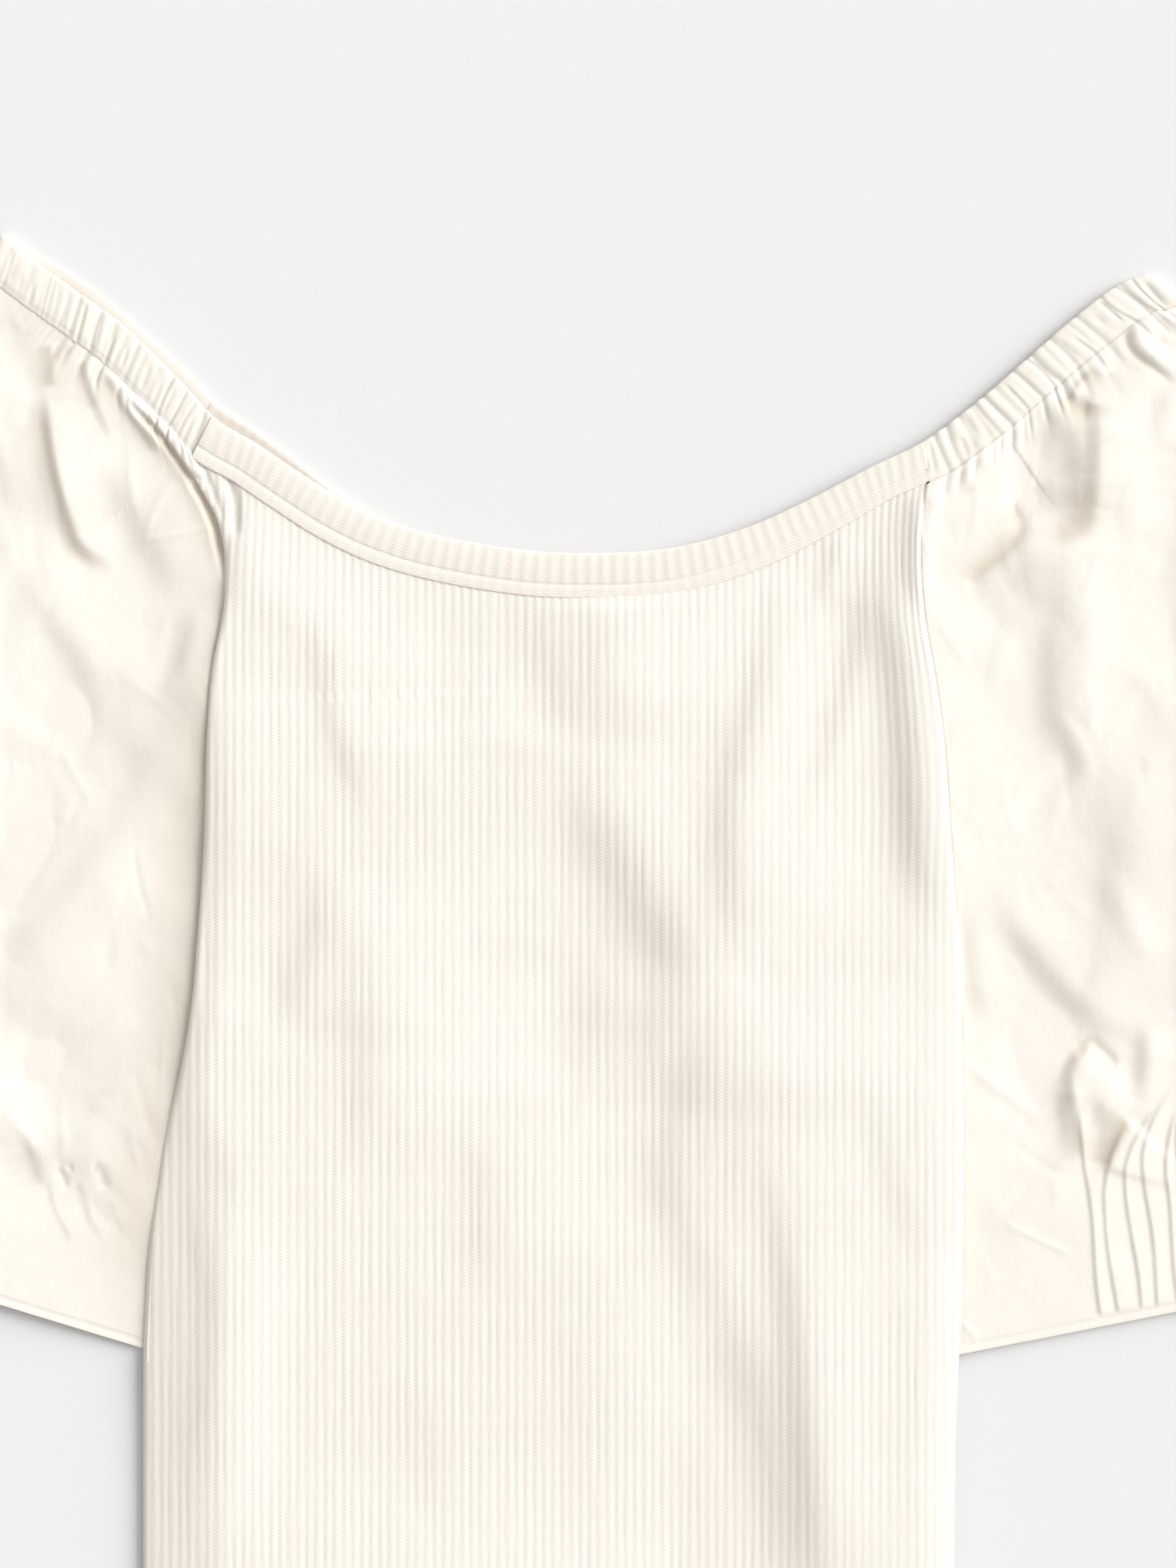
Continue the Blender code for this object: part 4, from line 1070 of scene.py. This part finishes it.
def sleeve(side):
    table = SLEEVES[side]
    seen = 0.56 if side == "right" else 0.50
    top = np.concatenate([
        np.linspace(0, 0.05, 10)[:-1],
        np.linspace(0.05, seen, 128)[:-1],
        np.linspace(seen, 0.90, 56)[:-1],
        np.linspace(0.90, 0.996, 14),
    ])
    under = np.array([1.0, 0.996, 0.985, 0.97, 0.94, 0.90, 0.80, 0.68, 0.56, 0.44, 0.32, 0.22, 0.13, 0.06, 0.0])
    s = np.concatenate([np.linspace(0, 0.14, 64)[:-1], np.linspace(0.14, 0.74, 130)[:-1], np.linspace(0.74, 1.0, 80)])
    plan_top = sleeve_plan(side, s, top, "front")
    back = sleeve_plan(side, s, under, "back")
    front = sleeve_plan(side, s, under, "front")
    same = smooth((under - 0.86) / 0.1)[None, :, None]
    plan_under = back * (1 - same) + front * same
    # the back layer's hem shows a hair below the front's, from the tucks outwards
    drop = 1.5 * smooth((s - 0.93) / 0.07)[:, None] * smooth((under - 0.20) / 0.16)[None, :] * (1 - smooth((under - 0.93) / 0.05))[None, :]
    plan_under[..., 1] += drop
    x, y = plan_top[..., 0], plan_top[..., 1]
    z_top = sleeve_rest(side, s, top, x, y)
    t_ = np.broadcast_to(top[None, :], x.shape)
    s_ = np.broadcast_to(s[:, None], x.shape)
    table_folds = LEFT_FOLDS if side == "left" else RIGHT_FOLDS
    h = fold_heights(table_folds, x, y) * smooth((0.985 - t_) / 0.08) * smooth(s_ / 0.012)
    box = (x.min(), y.min(), x.max(), y.max())
    amount = smooth(s_ / 0.03) * (1 - 0.75 * smooth((s_ - 0.78) / 0.06)) * smooth((0.98 - t_) / 0.08) * smooth((t_ + 0.01) / 0.04)
    h = h + amount * crinkles(x, y, 5 if side == "left" else 8, 220, box, 0.22, 4.5, 60)
    h = h + amount * crinkles(x, y, 15 if side == "left" else 18, 60, box, 0.60, 16.0, 110)
    # gathers spread from the casing's lower edge and die away
    join, end = JOIN_X[side], END_X[side]
    run = along_neck(join + top * (end - join))[None, :]
    below = np.hypot(x - plan_top[:1, :, 0], y - plan_top[:1, :, 1])
    g = gather_height(side, run + 0 * below, CASING_W + 0 * below)
    h = h + 0.5 * g * np.exp(-below / 24.0) + 0.6 * g * np.exp(-((below - 20) / 14.0) ** 2)
    folded, lines = tucks(side, x, y)
    h = h + 0.48 * folded * smooth((0.97 - t_) / 0.05)
    # a narrow stitched hem
    hem = (1 - s_) * 1340
    h = h - 0.35 * np.exp(-(((hem - 13) / 2.5) ** 2)) * smooth((t_ - 0.02) / 0.03)
    # an even run-in under the bodice's edge
    inside = smooth((t_ + 0.004) / 0.03)
    h = h * (inside + (1 - inside) * (1 - smooth((y - 700) / 60)))
    # the deep crevice beside the left armhole: above it the seam's cloth lies higher on its right
    if side == "left":
        d, share = signed_distance(x, y, CREVICE)
        deep = through((0, 0.12, 0.35, 0.55, 0.8, 1.0), (0.0, 0.9, 1.3, 2.1, 2.0, 0.0), share)
        free = smooth((y - 604) / 18)
        trough = np.where(d < 0, np.exp(-np.abs(d / 5.5) ** 2.6), free + (1 - free) * np.exp(-np.abs(d / 3.2) ** 2.6))
        seam = 0.4 * smooth((d - 1) / 4) * (1 - free) * smooth(share / 0.08) * (share < 0.6)
        h = h - deep * trough * (d < 40) + seam * (d < 60)
    dome = through(column(table, "s"), column(table, "dome"), s) * 0.62
    outer_z = 2.5 + 0.12 * dome
    curl = 1 - np.sqrt(np.clip(1 - (np.clip(under - 0.95, 0, None) / 0.05) ** 2, 0, 1))
    z_under = 0.12 + (outer_z[:, None] - 0.12) * curl[None, :]
    flat = np.concatenate([plan_top, plan_under], 1)
    z_flat = np.concatenate([z_top, z_under], 1)
    base = place(flat[..., 0], flat[..., 1], z_flat)
    normal = np.cross(np.gradient(base, axis=1), np.gradient(base, axis=0))
    normal /= np.linalg.norm(normal, axis=2, keepdims=True) + 1e-12
    if normal[len(s) // 2, 60, 2] < 0:
        normal = -normal
    lift = np.concatenate([h, np.zeros(plan_under.shape[:2])], 1)
    outer = base + normal * lift[..., None] * MM
    outer[..., 2] = np.maximum(outer[..., 2], 0.0001)
    # the inner face stays under the lowest of the folds about it
    low = lift.copy()
    for axis, reach in ((0, 5), (1, 5)):
        stack = [np.roll(low, k, axis) for k in range(-reach, reach + 1)]
        low = np.minimum.reduce(stack)
    low[:, len(top) - 8 :] = np.minimum(lift[:, len(top) - 8 :], 0)
    inner = base + normal * low[..., None] * MM
    # the deepest creases of the front layer end above the back layer
    over = slice(0, len(top) - 16)
    outer[:, over, 2] = np.maximum(outer[:, over, 2], 0.00175)
    inner[:, over, 2] = np.maximum(inner[:, over, 2], 0.00170)
    first = np.zeros(len(s), int)
    last = np.full(len(s), flat.shape[1] - 1)
    # painted shade: the creases' shade and the shaded lines beside the tucks go into the cloth's colour
    crease_shade = np.zeros(flat.shape[:2])
    crease_shade[:, : len(top)] = np.clip(crease_shade_shares(PAINTED_CREASE_SHADE[side], x, y) + 0.16 * lines * smooth((0.97 - t_) / 0.05), 0, 1)
    made = shell("sleeve_" + side + "_poplin", outer, inner, normal, 0.75, 60, 50, first, last, poplin, crease_shade)
    if signed_volume(made) < 0:
        made.data.flip_normals()
    return made


sleeves = {side: sleeve(side) for side in ("left", "right")}

# ---------------------------------------------------------------- what each piece stands for
for piece, where, slot in (
    (body_front, "body_front", "rib_knit"),
    (body_back, "body_back", "rib_knit"),
    (neck_front, "neckband_front", "rib_band"),
    (neck_back, "neckband_back", "rib_band"),
    (casings["left"], "casing_left", "poplin"),
    (casings["right"], "casing_right", "poplin"),
    (sleeves["left"], "sleeve_left", "poplin"),
    (sleeves["right"], "sleeve_right", "poplin"),
):
    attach(piece, "root")
    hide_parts(where)

# ---------------------------------------------------------------- surface, light and camera
floor_mesh = bpy.data.meshes.new("surface")
floor_mesh.from_pydata([(-4, -4, 0), (4, -4, 0), (4, 4, 0), (-4, 4, 0)], [], [(0, 1, 2, 3)])
floor = bpy.data.objects.new("surface", floor_mesh)
bpy.context.scene.collection.objects.link(floor)
floor.location.z = -0.0002
paper = bpy.data.materials.new("pale_surface")
paper.use_nodes = True
paper.node_tree.nodes["Principled BSDF"].inputs["Base Color"].default_value = (0.695, 0.695, 0.695, 1)
paper.node_tree.nodes["Principled BSDF"].inputs["Roughness"].default_value = 0.95
paper.node_tree.nodes["Principled BSDF"].inputs["Specular IOR Level"].default_value = 0.1
floor_mesh.materials.append(paper)

world = bpy.data.worlds.new("studio")
world.use_nodes = True
world.node_tree.nodes["Background"].inputs["Color"].default_value = (1, 1, 1, 1)
world.node_tree.nodes["Background"].inputs["Strength"].default_value = 0.627
bpy.context.scene.world = world


def sun(name, strength, azimuth, elevation, angle, colour=(1, 1, 1)):
    data = bpy.data.lights.new(name, "SUN")
    data.energy = strength
    data.angle = math.radians(angle)
    data.color = colour
    made = bpy.data.objects.new(name, data)
    bpy.context.scene.collection.objects.link(made)
    a, e = math.radians(azimuth), math.radians(elevation)
    towards = Vector((-math.cos(e) * math.cos(a), -math.cos(e) * math.sin(a), -math.sin(e)))
    made.rotation_euler = towards.to_track_quat("-Z", "Y").to_euler()
    made.location = (math.cos(a) * 1.5, math.sin(a) * 1.5, 1.2)
    return made


sun("key", 5.68, 26, 21, 50)

camera_data = bpy.data.cameras.new("camera")
camera_data.lens = LENS
camera_data.sensor_fit = "VERTICAL"
camera_data.sensor_height = 36.0
camera_data.sensor_width = 27.0
camera_data.clip_start = 0.01
camera = bpy.data.objects.new("camera", camera_data)
camera.location = ((VIEW_X - CENTRE_X) * K, (CENTRE_Y - VIEW_Y) * K, CAMERA_Z)
bpy.context.scene.collection.objects.link(camera)
bpy.context.scene.camera = camera
bpy.context.scene.view_settings.view_transform = "Standard"
